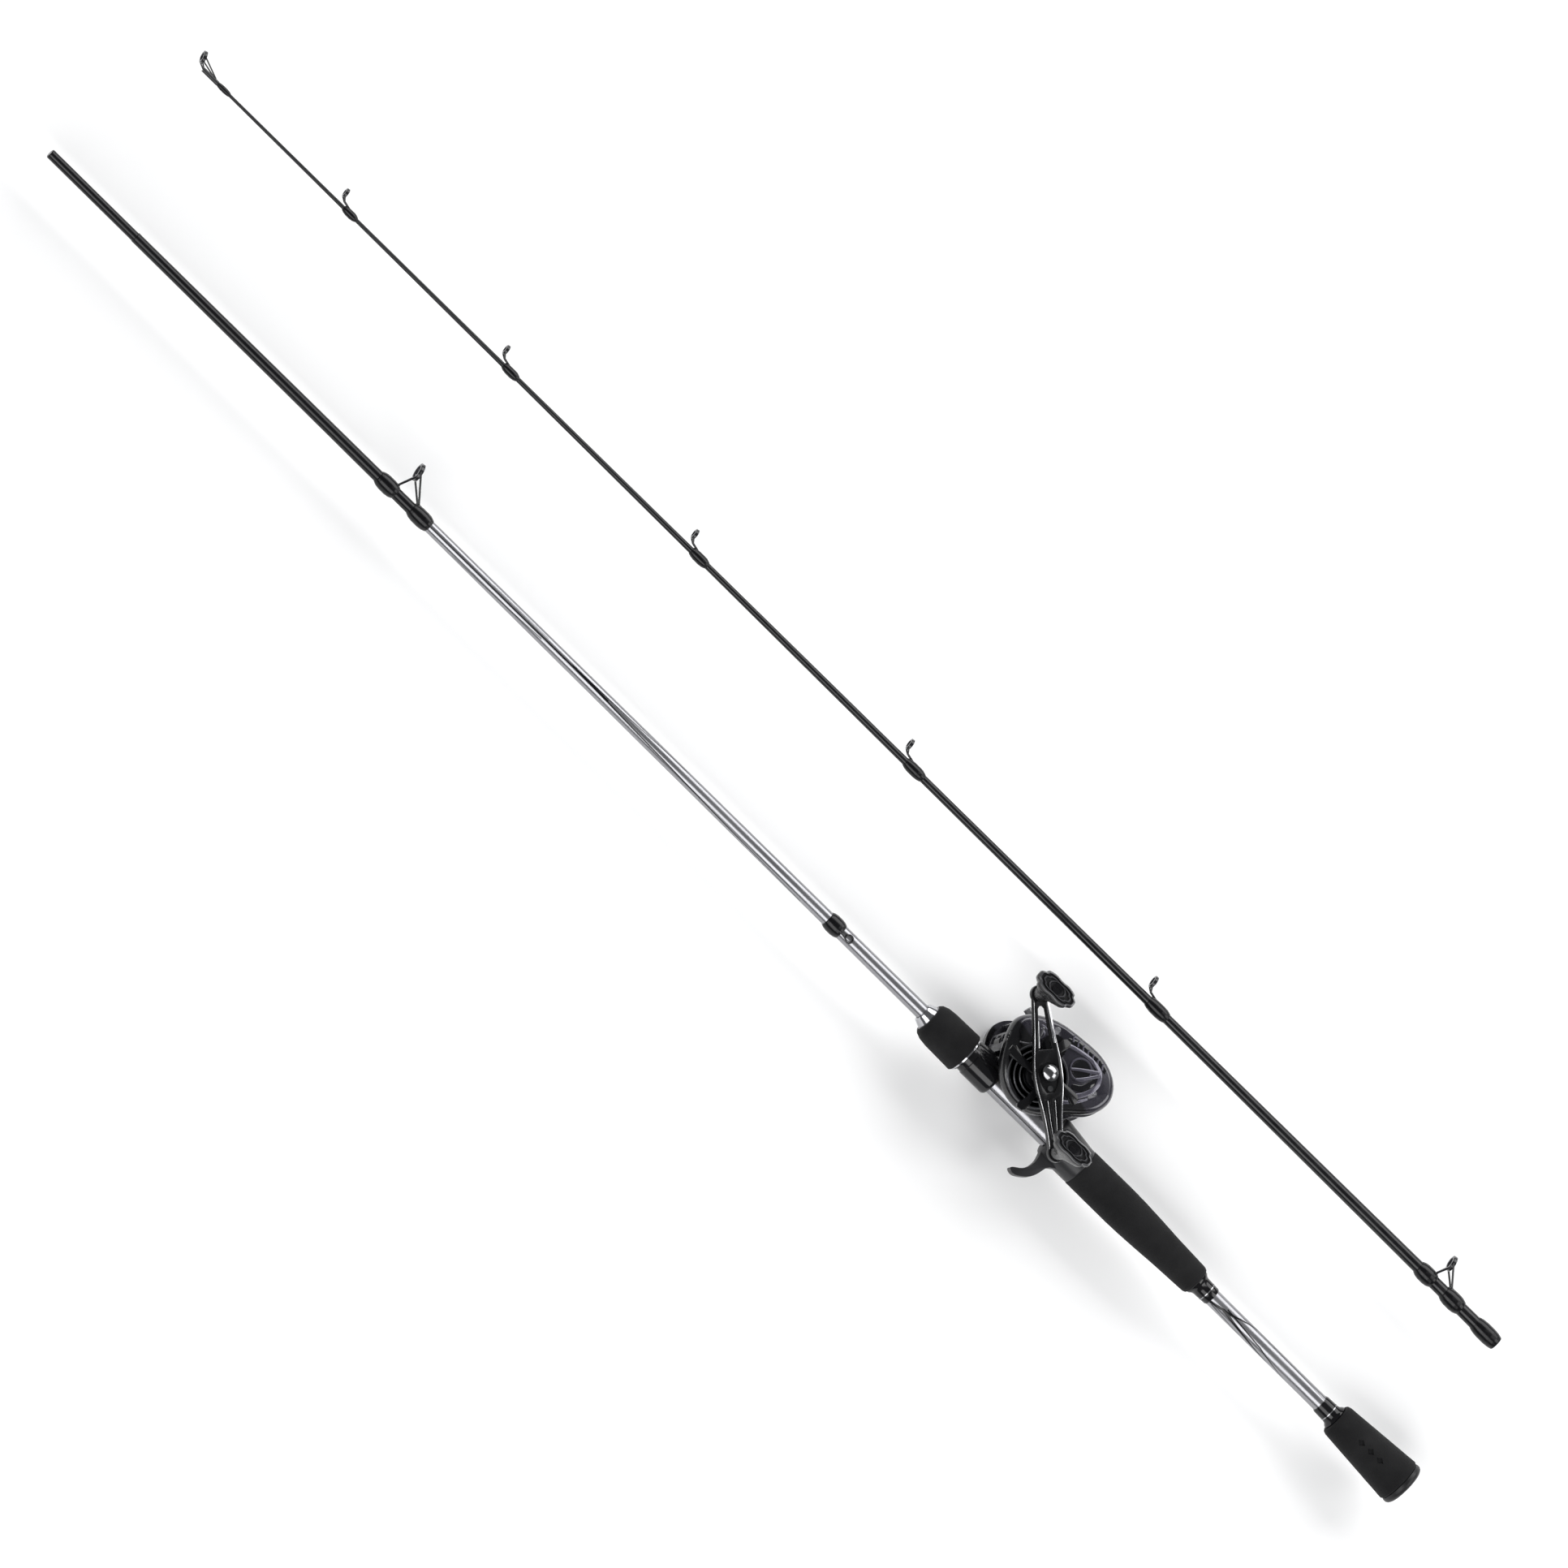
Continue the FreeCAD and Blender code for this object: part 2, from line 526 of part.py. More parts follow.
nose_stem = Part.makeCylinder(1.5, 6.2, stem_start, stem_way)
reel_frame = joined([handle_wall, palm_wall, bottom_plate, rear_deck, top_bar, nose_stem])
reel_frame = without(reel_frame, [disc(spool_x, spool_y, wall_inner - 1, wall_outer + 1, bearing_radius),
                                  disc(drive_x, drive_y, wall_inner - 0.5, wall_outer + 1, drive_radius + run_gap),
                                  disc(worm_x, worm_y, -wall_outer - 1, wall_outer + 1, shaft_hole),
                                  disc(worm_x, guide_rod_y, -wall_outer - 1, wall_outer + 1, guide_rod_radius)])
yoke_posts = [(spool_x - 8.0, spool_y + 1.8), (spool_x + 8.0, spool_y - 1.8)]
for post_x, post_y in yoke_posts:
    reel_frame = reel_frame.fuse(disc(post_x, post_y, wall_outer - 0.5, 22.6, 0.9))
knob_start = stem_start.add(Vector(stem_way).multiply(6.2))
hexagon = Part.makePolygon([Vector(2.4 * math.cos(math.radians(60 * k)), 2.4 * math.sin(math.radians(60 * k)), 0)
                            for k in range(7)])
nose_knob = Part.Face(hexagon).extrude(Vector(0, 0, 3.4))
nose_knob.Placement = FreeCAD.Placement(knob_start, FreeCAD.Rotation(Vector(0, 0, 1), stem_way))
save("nose_knob", nose_knob)

cover_floor = wall_outer + 0.2
foot = foot_shape(0.0, foot_rear, foot_front)
pad = block(306.0, 347.0, foot_high - 1.0, pad_top, -5.5, 5.5)
foot = joined([foot, pad])
foot_screw_at = (314.0, 339.0)
foot_screws = []
for screw_x in foot_screw_at:
    hole = Part.makeCylinder(1.2, 8.0, point(screw_x, foot_low - 1), Vector(0, 1, 0))
    sink = Part.makeCylinder(2.1, 1.2, point(screw_x, foot_low - 0.4), Vector(0, 1, 0))
    foot = without(foot, [hole, sink])
    reel_frame = reel_frame.cut(Part.makeCylinder(1.2, 3.4, point(screw_x, pad_top - 1), Vector(0, 1, 0)))
    shank = Part.makeCylinder(1.15, 4.0, point(screw_x, foot_low + 0.4), Vector(0, 1, 0))
    head = Part.makeCylinder(2.05, 0.6, point(screw_x, foot_low + 0.15), Vector(0, 1, 0))
    foot_screws.append(shank.fuse(head).removeSplitter())
save("reel_foot", foot)
save("reel_frame", reel_frame)

nose_outer = [(361.2, 25.0), (360.6, 21.8), (358.2, 17.6), (354.6, 14.9)]
nose_inner = [(353.6, 15.9), (357.2, 18.4), (359.2, 21.9), (359.8, 25.0)]
nose_cover = slab(nose_outer + nose_inner, -wall_inner, wall_inner)
for window_z in (-8.6, 0.0, 8.6):
    nose_cover = nose_cover.cut(block(355.0, 363.0, 18.8, 23.2, window_z - 2.6, window_z + 2.6))
save("nose_cover", nose_cover)


def domed(outline, floor, steps):
    """Closed body between curved outlines: steps are (height, share of the outline)."""
    wires = [curve_wire(outline, floor)] + [curve_wire(scaled(outline, share), height) for height, share in steps]
    return Part.makeLoft(wires, True, False)


main_radius = gear_module * main_teeth / 2.0
boss_radius = 9.0
boss_high = 29.4
handle_cover = domed(handle_outline, cover_floor, [(20.5, 0.995), (22.8, 0.955), (handle_face, 0.88)])
neck_radius = 4.4
neck_high = 28.0
handle_cover = joined([handle_cover, disc(drive_x, drive_y, 21.0, boss_high, boss_radius),
                       disc(spool_x, spool_y, 21.0, neck_high, neck_radius)])
worm_gear_radius = gear_module * worm_teeth / 2.0
wind_low = 20.6
wind_high = 22.0
drive_to_worm = math.hypot(worm_x - drive_x, worm_y - drive_y)
first_reach = gear_module * (wind_drive_teeth + idler_teeth) / 2.0
second_reach = gear_module * (idler_teeth + worm_teeth) / 2.0
share = (first_reach ** 2 - second_reach ** 2 + drive_to_worm ** 2) / (2.0 * drive_to_worm)
side_step = -math.sqrt(first_reach ** 2 - share ** 2)
way_x = (worm_x - drive_x) / drive_to_worm
way_y = (worm_y - drive_y) / drive_to_worm
idler_x = drive_x + way_x * share - way_y * side_step
idler_y = drive_y + way_y * share + way_x * side_step
cavity_high = wind_high + 0.4
idler_pin = 1.2
handle_cover = without(handle_cover, [disc(drive_x, drive_y, cover_floor - 1, wind_low - 0.4, main_radius + 1.0),
                                      disc(drive_x, drive_y, cover_floor - 1, cavity_high, 12.2),
                                      disc(idler_x, idler_y, cover_floor - 1, cavity_high, 6.0),
                                      disc(worm_x, worm_y, cover_floor - 1, cavity_high, 5.4),
                                      disc(spool_x, spool_y, cover_floor - 1, 23.4, 4.4),
                                      disc(spool_x, spool_y, 20.0, neck_high + 1, shaft_hole),
                                      disc(drive_x, drive_y, 20.0, boss_high + 1, drive_radius + run_gap)])
yoke_room = slab([(spool_x - 10.2, spool_y - 1.4), (spool_x + 10.2, spool_y - 5.0),
                  (spool_x + 10.2, spool_y + 3.4), (spool_x - 10.2, spool_y + 5.0)], cover_floor - 1, 23.0)
handle_cover = handle_cover.cut(yoke_room)
handle_cover = handle_cover.fuse(disc(idler_x, idler_y, 20.0, cavity_high + 0.5, idler_pin))
cover_screw_at = [(298.0, 30.0), (339.0, 42.6), (318.0, 3.0)]
cover_screws = []
for screw_x, screw_y in cover_screw_at:
    handle_cover = handle_cover.cut(disc(screw_x, screw_y, handle_face - 1.2, handle_face + 3, 1.75))
    handle_cover = handle_cover.cut(disc(screw_x, screw_y, handle_face - 4.2, handle_face, 0.8))
    screw = disc(screw_x, screw_y, handle_face - 1.2, handle_face - 0.2, 1.7)
    screw = screw.fuse(disc(screw_x, screw_y, handle_face - 4.0, handle_face - 1.0, 0.75)).removeSplitter()
    slot = block(screw_x - 1.2, screw_x + 1.2, screw_y - 0.25, screw_y + 0.25, handle_face - 0.7, handle_face)
    cover_screws.append(screw.cut(slot))
save("handle_side_cover", handle_cover)
save("reel_screws", Part.makeCompound(cover_screws + foot_screws))

palm_steps = [(-20.5, 0.995), (-24.5, 0.965), (-27.2, 0.90), (-palm_face, 0.80)]
palm_cover = domed(body_outline, -cover_floor, palm_steps)
dial_radius = 9.4
dial_depth = 2.0
brake_room = disc(spool_x, spool_y, -25.0, -cover_floor + 1, 12.0)
brake_boss = disc(spool_x, spool_y, -25.5, -18.5, 5.2)
palm_cover = joined([palm_cover.cut(brake_room), brake_boss])
palm_cover = without(palm_cover, [disc(spool_x, spool_y, -21.8, -18.0, bearing_radius),
                                  disc(spool_x, spool_y, -22.8, -20.0, shaft_radius + 0.6),
                                  disc(spool_x, spool_y, -palm_face - 1, -palm_face + dial_depth, dial_radius + 0.15),
                                  disc(spool_x, spool_y, -palm_face - 1, -25.6, 1.5 + run_gap)])
save("palm_side_cover", palm_cover)
dial = disc(spool_x, spool_y, -palm_face, -palm_face + dial_depth - 0.2, dial_radius)
dial_grip = block(spool_x - 7.5, spool_x + 7.5, spool_y - 1.0, spool_y + 1.0, -palm_face - 1, -palm_face + 0.9)
dial_slot = block(spool_x - 6.5, spool_x + 6.5, spool_y - 3.4, spool_y + 3.4, -palm_face - 1, -palm_face + 0.9)
dial = dial.cut(dial_slot.cut(dial_grip))
dial_pin = disc(spool_x, spool_y, -palm_face + 1.0, -25.8, 1.5)
save("brake_dial", dial.fuse(dial_pin).removeSplitter())
save("brake_magnets", ring(spool_x, spool_y, -25.0, -21.6, 9.6, 5.6))

# ---- Spool, its shaft, bearings, brake rotor, pinion and clutch yoke
flange = 1.3
arbor = 9.5
spool_low = -spool_half_width
spool_shape = [(spool_low, 1.5), (spool_low, spool_radius), (spool_low + flange, spool_radius),
               (spool_low + flange + 1.6, arbor), (-spool_low - flange - 1.6, arbor),
               (-spool_low - flange, spool_radius), (-spool_low, spool_radius), (-spool_low, 1.5)]
spool_corners = [Vector(along(spool_x) + radius, spool_y, z) for z, radius in spool_shape]
spool_face = Part.Face(Part.makePolygon(spool_corners + [spool_corners[0]]))
spool = spool_face.revolve(Vector(along(spool_x), spool_y, 0), Vector(0, 0, 1), 360)
hollow_low = ring(spool_x, spool_y, spool_low - 1, -1.0, arbor - 1.6, 3.2)
hollow_high = ring(spool_x, spool_y, 1.0, -spool_low + 1, arbor - 1.6, 3.2)
save("spool", without(spool, [hollow_low, hollow_high]))
save("spool_shaft", disc(spool_x, spool_y, -22.4, neck_high - 0.4, shaft_radius))
save("bearings", Part.makeCompound([ring(spool_x, spool_y, wall_inner + 0.2, wall_outer - 0.2, bearing_radius,
                                         shaft_hole),
                                    ring(spool_x, spool_y, -21.6, -19.0, bearing_radius, shaft_hole)]))
rotor = ring(spool_x, spool_y, -15.8, -13.2, 3.4, shaft_radius)
rotor = rotor.fuse(ring(spool_x, spool_y, -14.6, -13.8, 9.4, 3.2))
rotor = rotor.fuse(ring(spool_x, spool_y, -20.9, -13.8, 9.4, 8.6))
save("brake_rotor", rotor.removeSplitter())

main_phase = 0.0
pinion_phase = meshed_phase((drive_x, drive_y), main_teeth, main_phase, (spool_x, spool_y), pinion_teeth)
pinion = gear(spool_x, spool_y, 17.1, 20.2, pinion_teeth, pinion_phase, shaft_radius)
pinion = joined([pinion, ring(spool_x, spool_y, 20.2, 21.7, 1.95, shaft_radius),
                 ring(spool_x, spool_y, 21.7, 22.5, 3.0, shaft_radius)])
save("pinion_gear", pinion)

yoke = slab([(spool_x - 9.8, spool_y + 0.3), (spool_x - 9.2, spool_y + 3.6), (spool_x + 9.0, spool_y + 0.0),
             (spool_x + 9.8, spool_y - 3.6), (spool_x + 6.0, spool_y - 4.0), (spool_x - 6.0, spool_y - 0.4)],
            20.5, 21.4)
yoke = yoke.fuse(disc(spool_x, spool_y, 20.5, 21.4, 3.9))
yoke = without(yoke, [disc(spool_x, spool_y, 20.0, 22.0, 2.2)]
               + [disc(x, y, 20.0, 22.0, 1.0) for x, y in yoke_posts])
save("clutch_yoke", yoke.removeSplitter())
springs = []
for post_x, post_y in yoke_posts:
    helix = Part.makeHelix(0.9, 3.0, 1.35)
    profile = Part.Wire(Part.makeCircle(0.2, Vector(1.35, 0, 0), Vector(0, 1, 0)))
    coil = Part.Wire(helix).makePipeShell([profile], True, True)
    coil.translate(point(post_x, post_y, wall_outer + 0.45))
    springs.append(coil)
save("clutch_springs", Part.makeCompound(springs))

# ---- Crank: drive shaft, main gear, drag, star, arm, nut and knobs
arm_high = arm_low + arm_thickness
nut_seat = arm_high - 1.0
save("drive_shaft", disc(drive_x, drive_y, wall_inner + 0.1, nut_seat + 3.4, drive_radius))
main_gear = gear(drive_x, drive_y, 17.4, 19.0, main_teeth, main_phase, drive_radius)
save("main_gear", main_gear)
save("drag_washers", Part.makeCompound([ring(drive_x, drive_y, 19.0, 19.5, 11.0, drive_radius),
                                        ring(drive_x, drive_y, 19.5, 20.0, 10.6, drive_radius)]))
wind_phase = 0.0
wind_gear = gear(drive_x, drive_y, wind_low, wind_high, wind_drive_teeth, wind_phase, drive_radius)
save("wind_drive_gear", wind_gear)
idler_phase = meshed_phase((drive_x, drive_y), wind_drive_teeth, wind_phase, (idler_x, idler_y), idler_teeth)
worm_phase = meshed_phase((idler_x, idler_y), idler_teeth, idler_phase, (worm_x, worm_y), worm_teeth)
save("wind_idler", gear(idler_x, idler_y, wind_low, wind_high, idler_teeth, idler_phase, idler_pin + run_gap))

star = ring(drive_x, drive_y, boss_high + 0.5, 34.6, 6.4, drive_radius + run_gap)
star_arm_profile = [(4.0, -2.2), (10.0, -1.9), (17.0, -2.2), (star_radius - 2.0, -3.2), (star_radius, -1.4),
                    (star_radius, 1.6), (star_radius - 2.0, 3.2), (17.0, 2.2), (10.0, 1.9), (4.0, 2.2)]
for angle in (4.0, 94.0, 184.0, 274.0):
    turn = math.radians(angle)
    arm_corners = []
    for reach, side in star_arm_profile:
        swing = side + 2.2 * math.sin(math.pi * reach / star_radius)
        arm_corners.append(Vector(along(drive_x) + reach * math.cos(turn) - swing * math.sin(turn),
                                  drive_y + reach * math.sin(turn) + swing * math.cos(turn), star_low))
    star_arm = Part.Face(Part.makePolygon(arm_corners + [arm_corners[0]])).extrude(Vector(0, 0, 2.6))
    star = star.fuse(star_arm)
star = star.cut(disc(drive_x, drive_y, 20.0, 40.0, drive_radius + run_gap))
save("star_drag", star.removeSplitter())

crank_turn = math.radians(180.0 - handle_angle)
crank_way = Vector(math.cos(crank_turn), math.sin(crank_turn), 0)
crank_side = Vector(-crank_way.y, crank_way.x, 0)
crank_centre = Vector(along(drive_x), drive_y, 0)


def crank_point(reach, side, z):
    """Point on the crank arm: reach from the crank axis towards the upper knob."""
    return crank_centre.add(Vector(crank_way).multiply(reach)).add(Vector(crank_side).multiply(side)).add(Vector(0, 0, z))


def crank_slab(profile, low, high):
    corners = [crank_point(reach, side, low) for reach, side in profile]
    return Part.Face(Part.makePolygon(corners + [corners[0]])).extrude(Vector(0, 0, high - low))


arm_sides = [(-handle_throw, 4.6), (-40.0, 4.7), (-30.0, 5.2), (-20.0, 6.4), (-12.0, 7.8), (-5.0, 8.6), (2.0, 8.7),
             (9.0, 8.2), (18.0, 7.0), (28.0, 6.0), (38.0, 5.2), (handle_throw, 4.6)]
arm_profile = arm_sides + [(reach, -side) for reach, side in reversed(arm_sides)]
arm = crank_slab(arm_profile, arm_low, arm_high)
for end in (-handle_throw, handle_throw):
    centre = crank_point(end, 0, arm_low)
    arm = arm.fuse(Part.makeCylinder(5.4, arm_thickness, centre, Vector(0, 0, 1)))
arm = arm.fuse(disc(drive_x, drive_y, 34.9, arm_low, 5.6)).removeSplitter()
slot_profile = [(14.0, 4.2), (24.0, 3.6), (38.0, 2.4), (39.6, 1.2), (39.6, -1.2), (38.0, -2.4), (24.0, -3.6), (14.0, -4.2)]
pocket = crank_slab([(-11.4, 2.4), (-7.0, 5.0), (0.0, 6.4), (5.0, 4.6), (6.6, 0.0), (5.0, -4.6), (0.0, -6.4),
                     (-7.0, -5.0), (-11.4, -2.4)], nut_seat, arm_high + 1)
rib_pocket = [crank_slab([(-15.5, 4.0), (-27.0, 3.2), (-38.0, 2.0), (-38.0, 0.7), (-15.5, 0.9)], arm_high - 0.7,
                         arm_high + 1),
              crank_slab([(-15.5, -4.0), (-27.0, -3.2), (-38.0, -2.0), (-38.0, -0.7), (-15.5, -0.9)],
                         arm_high - 0.7, arm_high + 1)]
retainer_reach = -9.0
retainer = crank_point(retainer_reach, 0, 0)
arm = without(arm, [crank_slab(slot_profile, arm_low - 1, arm_high + 1), pocket] + rib_pocket
              + [disc(drive_x, drive_y, 30.0, arm_high + 1, drive_radius)])
arm = arm.cut(Part.makeCylinder(0.9, 10.0, retainer.add(Vector(0, 0, arm_low - 1)), Vector(0, 0, 1)))
posts = []
for end in (-handle_throw, handle_throw):
    centre = crank_point(end, 0, 0)
    arm = arm.cut(Part.makeCylinder(post_radius, 10.0, centre.add(Vector(0, 0, arm_low - 1)), Vector(0, 0, 1)))
    post = Part.makeCylinder(post_radius, knob_high - 4.3 - arm_low, centre.add(Vector(0, 0, arm_low)),
                             Vector(0, 0, 1))
    posts.append(post.fuse(Part.makeCylinder(3.4, 0.7, centre.add(Vector(0, 0, arm_high)),
                                             Vector(0, 0, 1))).removeSplitter())
save("handle_arm", arm)
save("knob_posts", Part.makeCompound(posts))
nut = disc(drive_x, drive_y, nut_seat, nut_seat + 4.6, 5.0)
dome = Part.makeSphere(7.2, Vector(along(drive_x), drive_y, nut_seat + 6.2 - 7.2))
nut = joined([nut, dome.common(disc(drive_x, drive_y, nut_seat + 4.0, nut_seat + 8.0, 5.0))])
nut = nut.cut(disc(drive_x, drive_y, nut_seat - 1, nut_seat + 3.5, drive_radius + 0.02))
save("handle_nut", nut)
retainer_head = Part.makeCylinder(1.7, 1.1, retainer.add(Vector(0, 0, nut_seat)), Vector(0, 0, 1))
retainer_stem = Part.makeCylinder(0.85, nut_seat - arm_low, retainer.add(Vector(0, 0, arm_low)), Vector(0, 0, 1))
save("nut_retainer", retainer_head.fuse(retainer_stem).removeSplitter())


def paddle_wire(centre, half_length, half_height, z):
    """Rounded paddle outline, long along the rod."""
    corners = []
    for step in range(24):
        angle = 2.0 * math.pi * step / 24
        stretch_x = math.copysign(abs(math.cos(angle)) ** 0.9, math.cos(angle))
        stretch_y = math.copysign(abs(math.sin(angle)) ** 1.0, math.sin(angle))
        corners.append(centre.add(Vector(half_length * stretch_x, half_height * stretch_y, z)))
    curve = Part.BSplineCurve()
    curve.interpolate(corners, PeriodicFlag=True)
    return Part.Wire(curve.toShape())


knob_sections = [(knob_low, 5.0, 5.0), (knob_low + 3.5, 4.2, 4.2), (knob_low + 8.0, 5.4, 4.5),
                 (knob_low + 13.0, 9.0, 5.5), (knob_low + 19.0, 12.6, 6.2), (knob_high - 3.0, 13.0, 6.3),
                 (knob_high - 0.8, 12.4, 5.8), (knob_high, 11.4, 5.0)]
for label, end in (("a", handle_throw), ("b", -handle_throw)):
    centre = crank_point(end, 0, 0)
    wires = [paddle_wire(centre, length * knob_half_length / 13.0, height * knob_half_height / 6.3, z)
             for z, length, height in knob_sections]
    knob = Part.makeLoft(wires, True, False)
    axis_low = centre.add(Vector(0, 0, knob_low - 1))
    knob = knob.cut(Part.makeCylinder(post_radius + run_gap, knob_high - knob_low - 2.7, axis_low, Vector(0, 0, 1)))
    cap_seat = centre.add(Vector(0, 0, knob_high - 1.2))
    knob = knob.cut(Part.makeCylinder(3.2, 4.0, cap_seat, Vector(0, 0, 1)))
    cap = Part.makeCylinder(3.15, 1.3, cap_seat, Vector(0, 0, 1))
    cap = cap.cut(Part.makeBox(4.0, 0.8, 1.0, cap_seat.add(Vector(-2.0, -0.4, 0.7))))
    save("knob_" + label, knob)
    save("knob_cap_" + label, cap)

# ---- Spool tension cap, thumb bar and level wind
cap_low = handle_face + 1.4
tension_cap = disc(spool_x, spool_y, cap_low, 30.6, tension_radius)
tension_cap = tension_cap.cut(disc(spool_x, spool_y, cap_low - 1, neck_high + 0.3, neck_radius + run_gap))
flutes = 24
for flute in range(flutes):
    angle = 2.0 * math.pi * flute / flutes
    groove_x = spool_x + (tension_radius + 0.15) * math.cos(angle)
    groove_y = spool_y + (tension_radius + 0.15) * math.sin(angle)
    tension_cap = tension_cap.cut(disc(groove_x, groove_y, cap_low - 1, 31.0, 0.55))
save("tension_cap", tension_cap)

thumb_half = wall_inner - 0.4
thumb_outline = [(305.0, 45.0), (304.9, 48.0), (307.5, 49.8), (312.0, 50.2), (316.4, 48.8), (317.4, 46.2),
                 (314.0, 43.6), (308.0, 43.4)]
thumb_bar = slab(thumb_outline, -thumb_half, thumb_half)
save("thumb_bar", thumb_bar)

worm_low = -wall_outer + 0.2
worm = disc(worm_x, worm_y, -wall_inner + 0.3, wall_inner - 0.3, worm_radius)
thread_step = 4.0
thread_turns = 5.0
helix = Part.makeHelix(thread_step, thread_step * thread_turns, worm_radius)
profile = Part.Wire(Part.makeCircle(0.4, Vector(worm_radius, 0, 0), Vector(0, 1, 0)))
groove = Part.Wire(helix).makePipeShell([profile], True, True)
groove.translate(point(worm_x, worm_y, -thread_step * thread_turns / 2.0))
worm = worm.fuse(disc(worm_x, worm_y, worm_low, wind_high - 0.2, shaft_radius)).cut(groove)
save("worm_shaft", worm)
save("worm_gear", gear(worm_x, worm_y, wind_low, wind_high, worm_teeth, worm_phase, shaft_radius))
save("guide_rod", disc(worm_x, guide_rod_y, -wall_outer + 0.1, wall_outer - 0.1, guide_rod_radius))

carrier_half = 4.4
eye_y = worm_y + 9.6
carrier = disc(worm_x, worm_y, -carrier_half, carrier_half, 3.9)
stem = block(worm_x - 1.8, worm_x + 1.8, worm_y + 3.0, worm_y + 7.2, -2.0, 2.0)
eye = sleeve(worm_x - 1.5, worm_x + 1.5, 3.2, 0.0, eye_y)
carrier = joined([carrier, stem, eye])
carrier = without(carrier, [disc(worm_x, worm_y, -9, 9, worm_radius + run_gap),
                            disc(worm_x, guide_rod_y, -9, 9, guide_rod_radius + run_gap),
                            sleeve(worm_x - 3, worm_x + 3, 2.7, 0.0, eye_y)])
save("line_guide", carrier)
save("line_guide_insert", sleeve(worm_x - 1.7, worm_x + 1.7, 2.7, 1.9, eye_y))
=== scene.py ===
import json
import math

import bmesh
import bpy
from mathutils import Matrix, Vector

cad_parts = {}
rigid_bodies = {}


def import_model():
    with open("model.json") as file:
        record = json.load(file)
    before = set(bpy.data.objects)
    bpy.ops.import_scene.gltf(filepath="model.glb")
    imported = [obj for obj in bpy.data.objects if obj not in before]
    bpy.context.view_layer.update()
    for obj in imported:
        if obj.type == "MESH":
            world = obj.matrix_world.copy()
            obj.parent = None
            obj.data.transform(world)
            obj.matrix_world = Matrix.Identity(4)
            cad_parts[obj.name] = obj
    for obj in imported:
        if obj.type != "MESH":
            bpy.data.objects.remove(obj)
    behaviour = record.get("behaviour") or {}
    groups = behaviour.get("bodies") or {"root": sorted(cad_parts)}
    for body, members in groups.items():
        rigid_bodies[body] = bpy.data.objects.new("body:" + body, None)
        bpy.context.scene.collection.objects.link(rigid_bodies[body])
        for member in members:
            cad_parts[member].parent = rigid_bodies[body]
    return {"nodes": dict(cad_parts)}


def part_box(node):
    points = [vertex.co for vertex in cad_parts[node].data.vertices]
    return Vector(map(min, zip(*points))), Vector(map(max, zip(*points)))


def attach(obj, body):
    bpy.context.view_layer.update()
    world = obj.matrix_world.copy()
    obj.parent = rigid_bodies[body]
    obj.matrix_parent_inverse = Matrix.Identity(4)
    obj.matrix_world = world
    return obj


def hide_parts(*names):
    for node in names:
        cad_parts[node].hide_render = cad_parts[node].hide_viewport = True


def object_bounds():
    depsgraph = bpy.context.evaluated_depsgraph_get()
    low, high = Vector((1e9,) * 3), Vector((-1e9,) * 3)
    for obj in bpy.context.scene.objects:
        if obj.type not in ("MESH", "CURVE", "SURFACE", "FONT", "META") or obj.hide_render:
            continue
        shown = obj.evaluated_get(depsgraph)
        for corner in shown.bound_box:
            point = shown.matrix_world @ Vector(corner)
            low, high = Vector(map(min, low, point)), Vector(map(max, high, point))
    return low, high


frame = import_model()
cad_low, cad_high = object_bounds()
scene = bpy.context.scene
scene.view_settings.view_transform = "Standard"
MM = 0.001
BUTT_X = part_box("butt_cap")[1].x

# ---- Camera: a long lens on the crank side, a little towards the tip and the trigger.
# The rod runs down the picture's diagonal, butt end at the lower right.
look_from = Vector((-0.186, -0.3165, 0.930)).normalized()
along_rod = (Vector((1, 0, 0)) - look_from * look_from.x).normalized()
across_rod = look_from.cross(along_rod)
tilt = math.atan2(0.7017, 0.7125)
right = along_rod * math.cos(tilt) + across_rod * math.sin(tilt)
up = across_rod * math.cos(tilt) - along_rod * math.sin(tilt)
target = Vector((-0.3296, 0.0401, 0.0))
camera_data = bpy.data.cameras.new("camera")
camera_data.lens = 1200.0
camera_data.sensor_width = 36.0
view_width = 0.9113
distance = view_width * camera_data.lens / camera_data.sensor_width
camera = bpy.data.objects.new("camera", camera_data)
turn = Matrix((right, up, look_from)).transposed()
camera.matrix_world = Matrix.Translation(target + look_from * distance) @ turn.to_4x4()
camera_data.clip_end = 60.0
scene.collection.objects.link(camera)
scene.camera = camera


# ---- Floor and light: a plain pale floor under the reel, a dim room and three soft boxes,
# one on the reel's side of the rod, one on the trigger's side and one past the butt end.
def shader(name, colour, rough, metal=0.0, coat=0.0):
    """A new material, its node tree and its shader."""
    made = bpy.data.materials.new(name)
    made.use_nodes = True
    tree = made.node_tree
    principled = tree.nodes["Principled BSDF"]
    principled.inputs["Base Color"].default_value = (*colour, 1.0)
    principled.inputs["Roughness"].default_value = rough
    principled.inputs["Metallic"].default_value = metal
    principled.inputs["Coat Weight"].default_value = coat
    if max(colour) < 0.02:
        principled.inputs["Specular IOR Level"].default_value = 0.3
    return made, tree, principled


floor_z = cad_low.z - 0.001
floor_bm = bmesh.new()
bmesh.ops.create_grid(floor_bm, x_segments=1, y_segments=1, size=4.0)
bmesh.ops.translate(floor_bm, verts=floor_bm.verts, vec=Vector((-0.33, 0.04, floor_z)))
floor_mesh = bpy.data.meshes.new("floor")
floor_bm.to_mesh(floor_mesh)
floor_bm.free()
floor = bpy.data.objects.new("floor", floor_mesh)
scene.collection.objects.link(floor)
floor_mesh.materials.append(shader("floor_finish", (0.93, 0.93, 0.93), 0.85)[0])

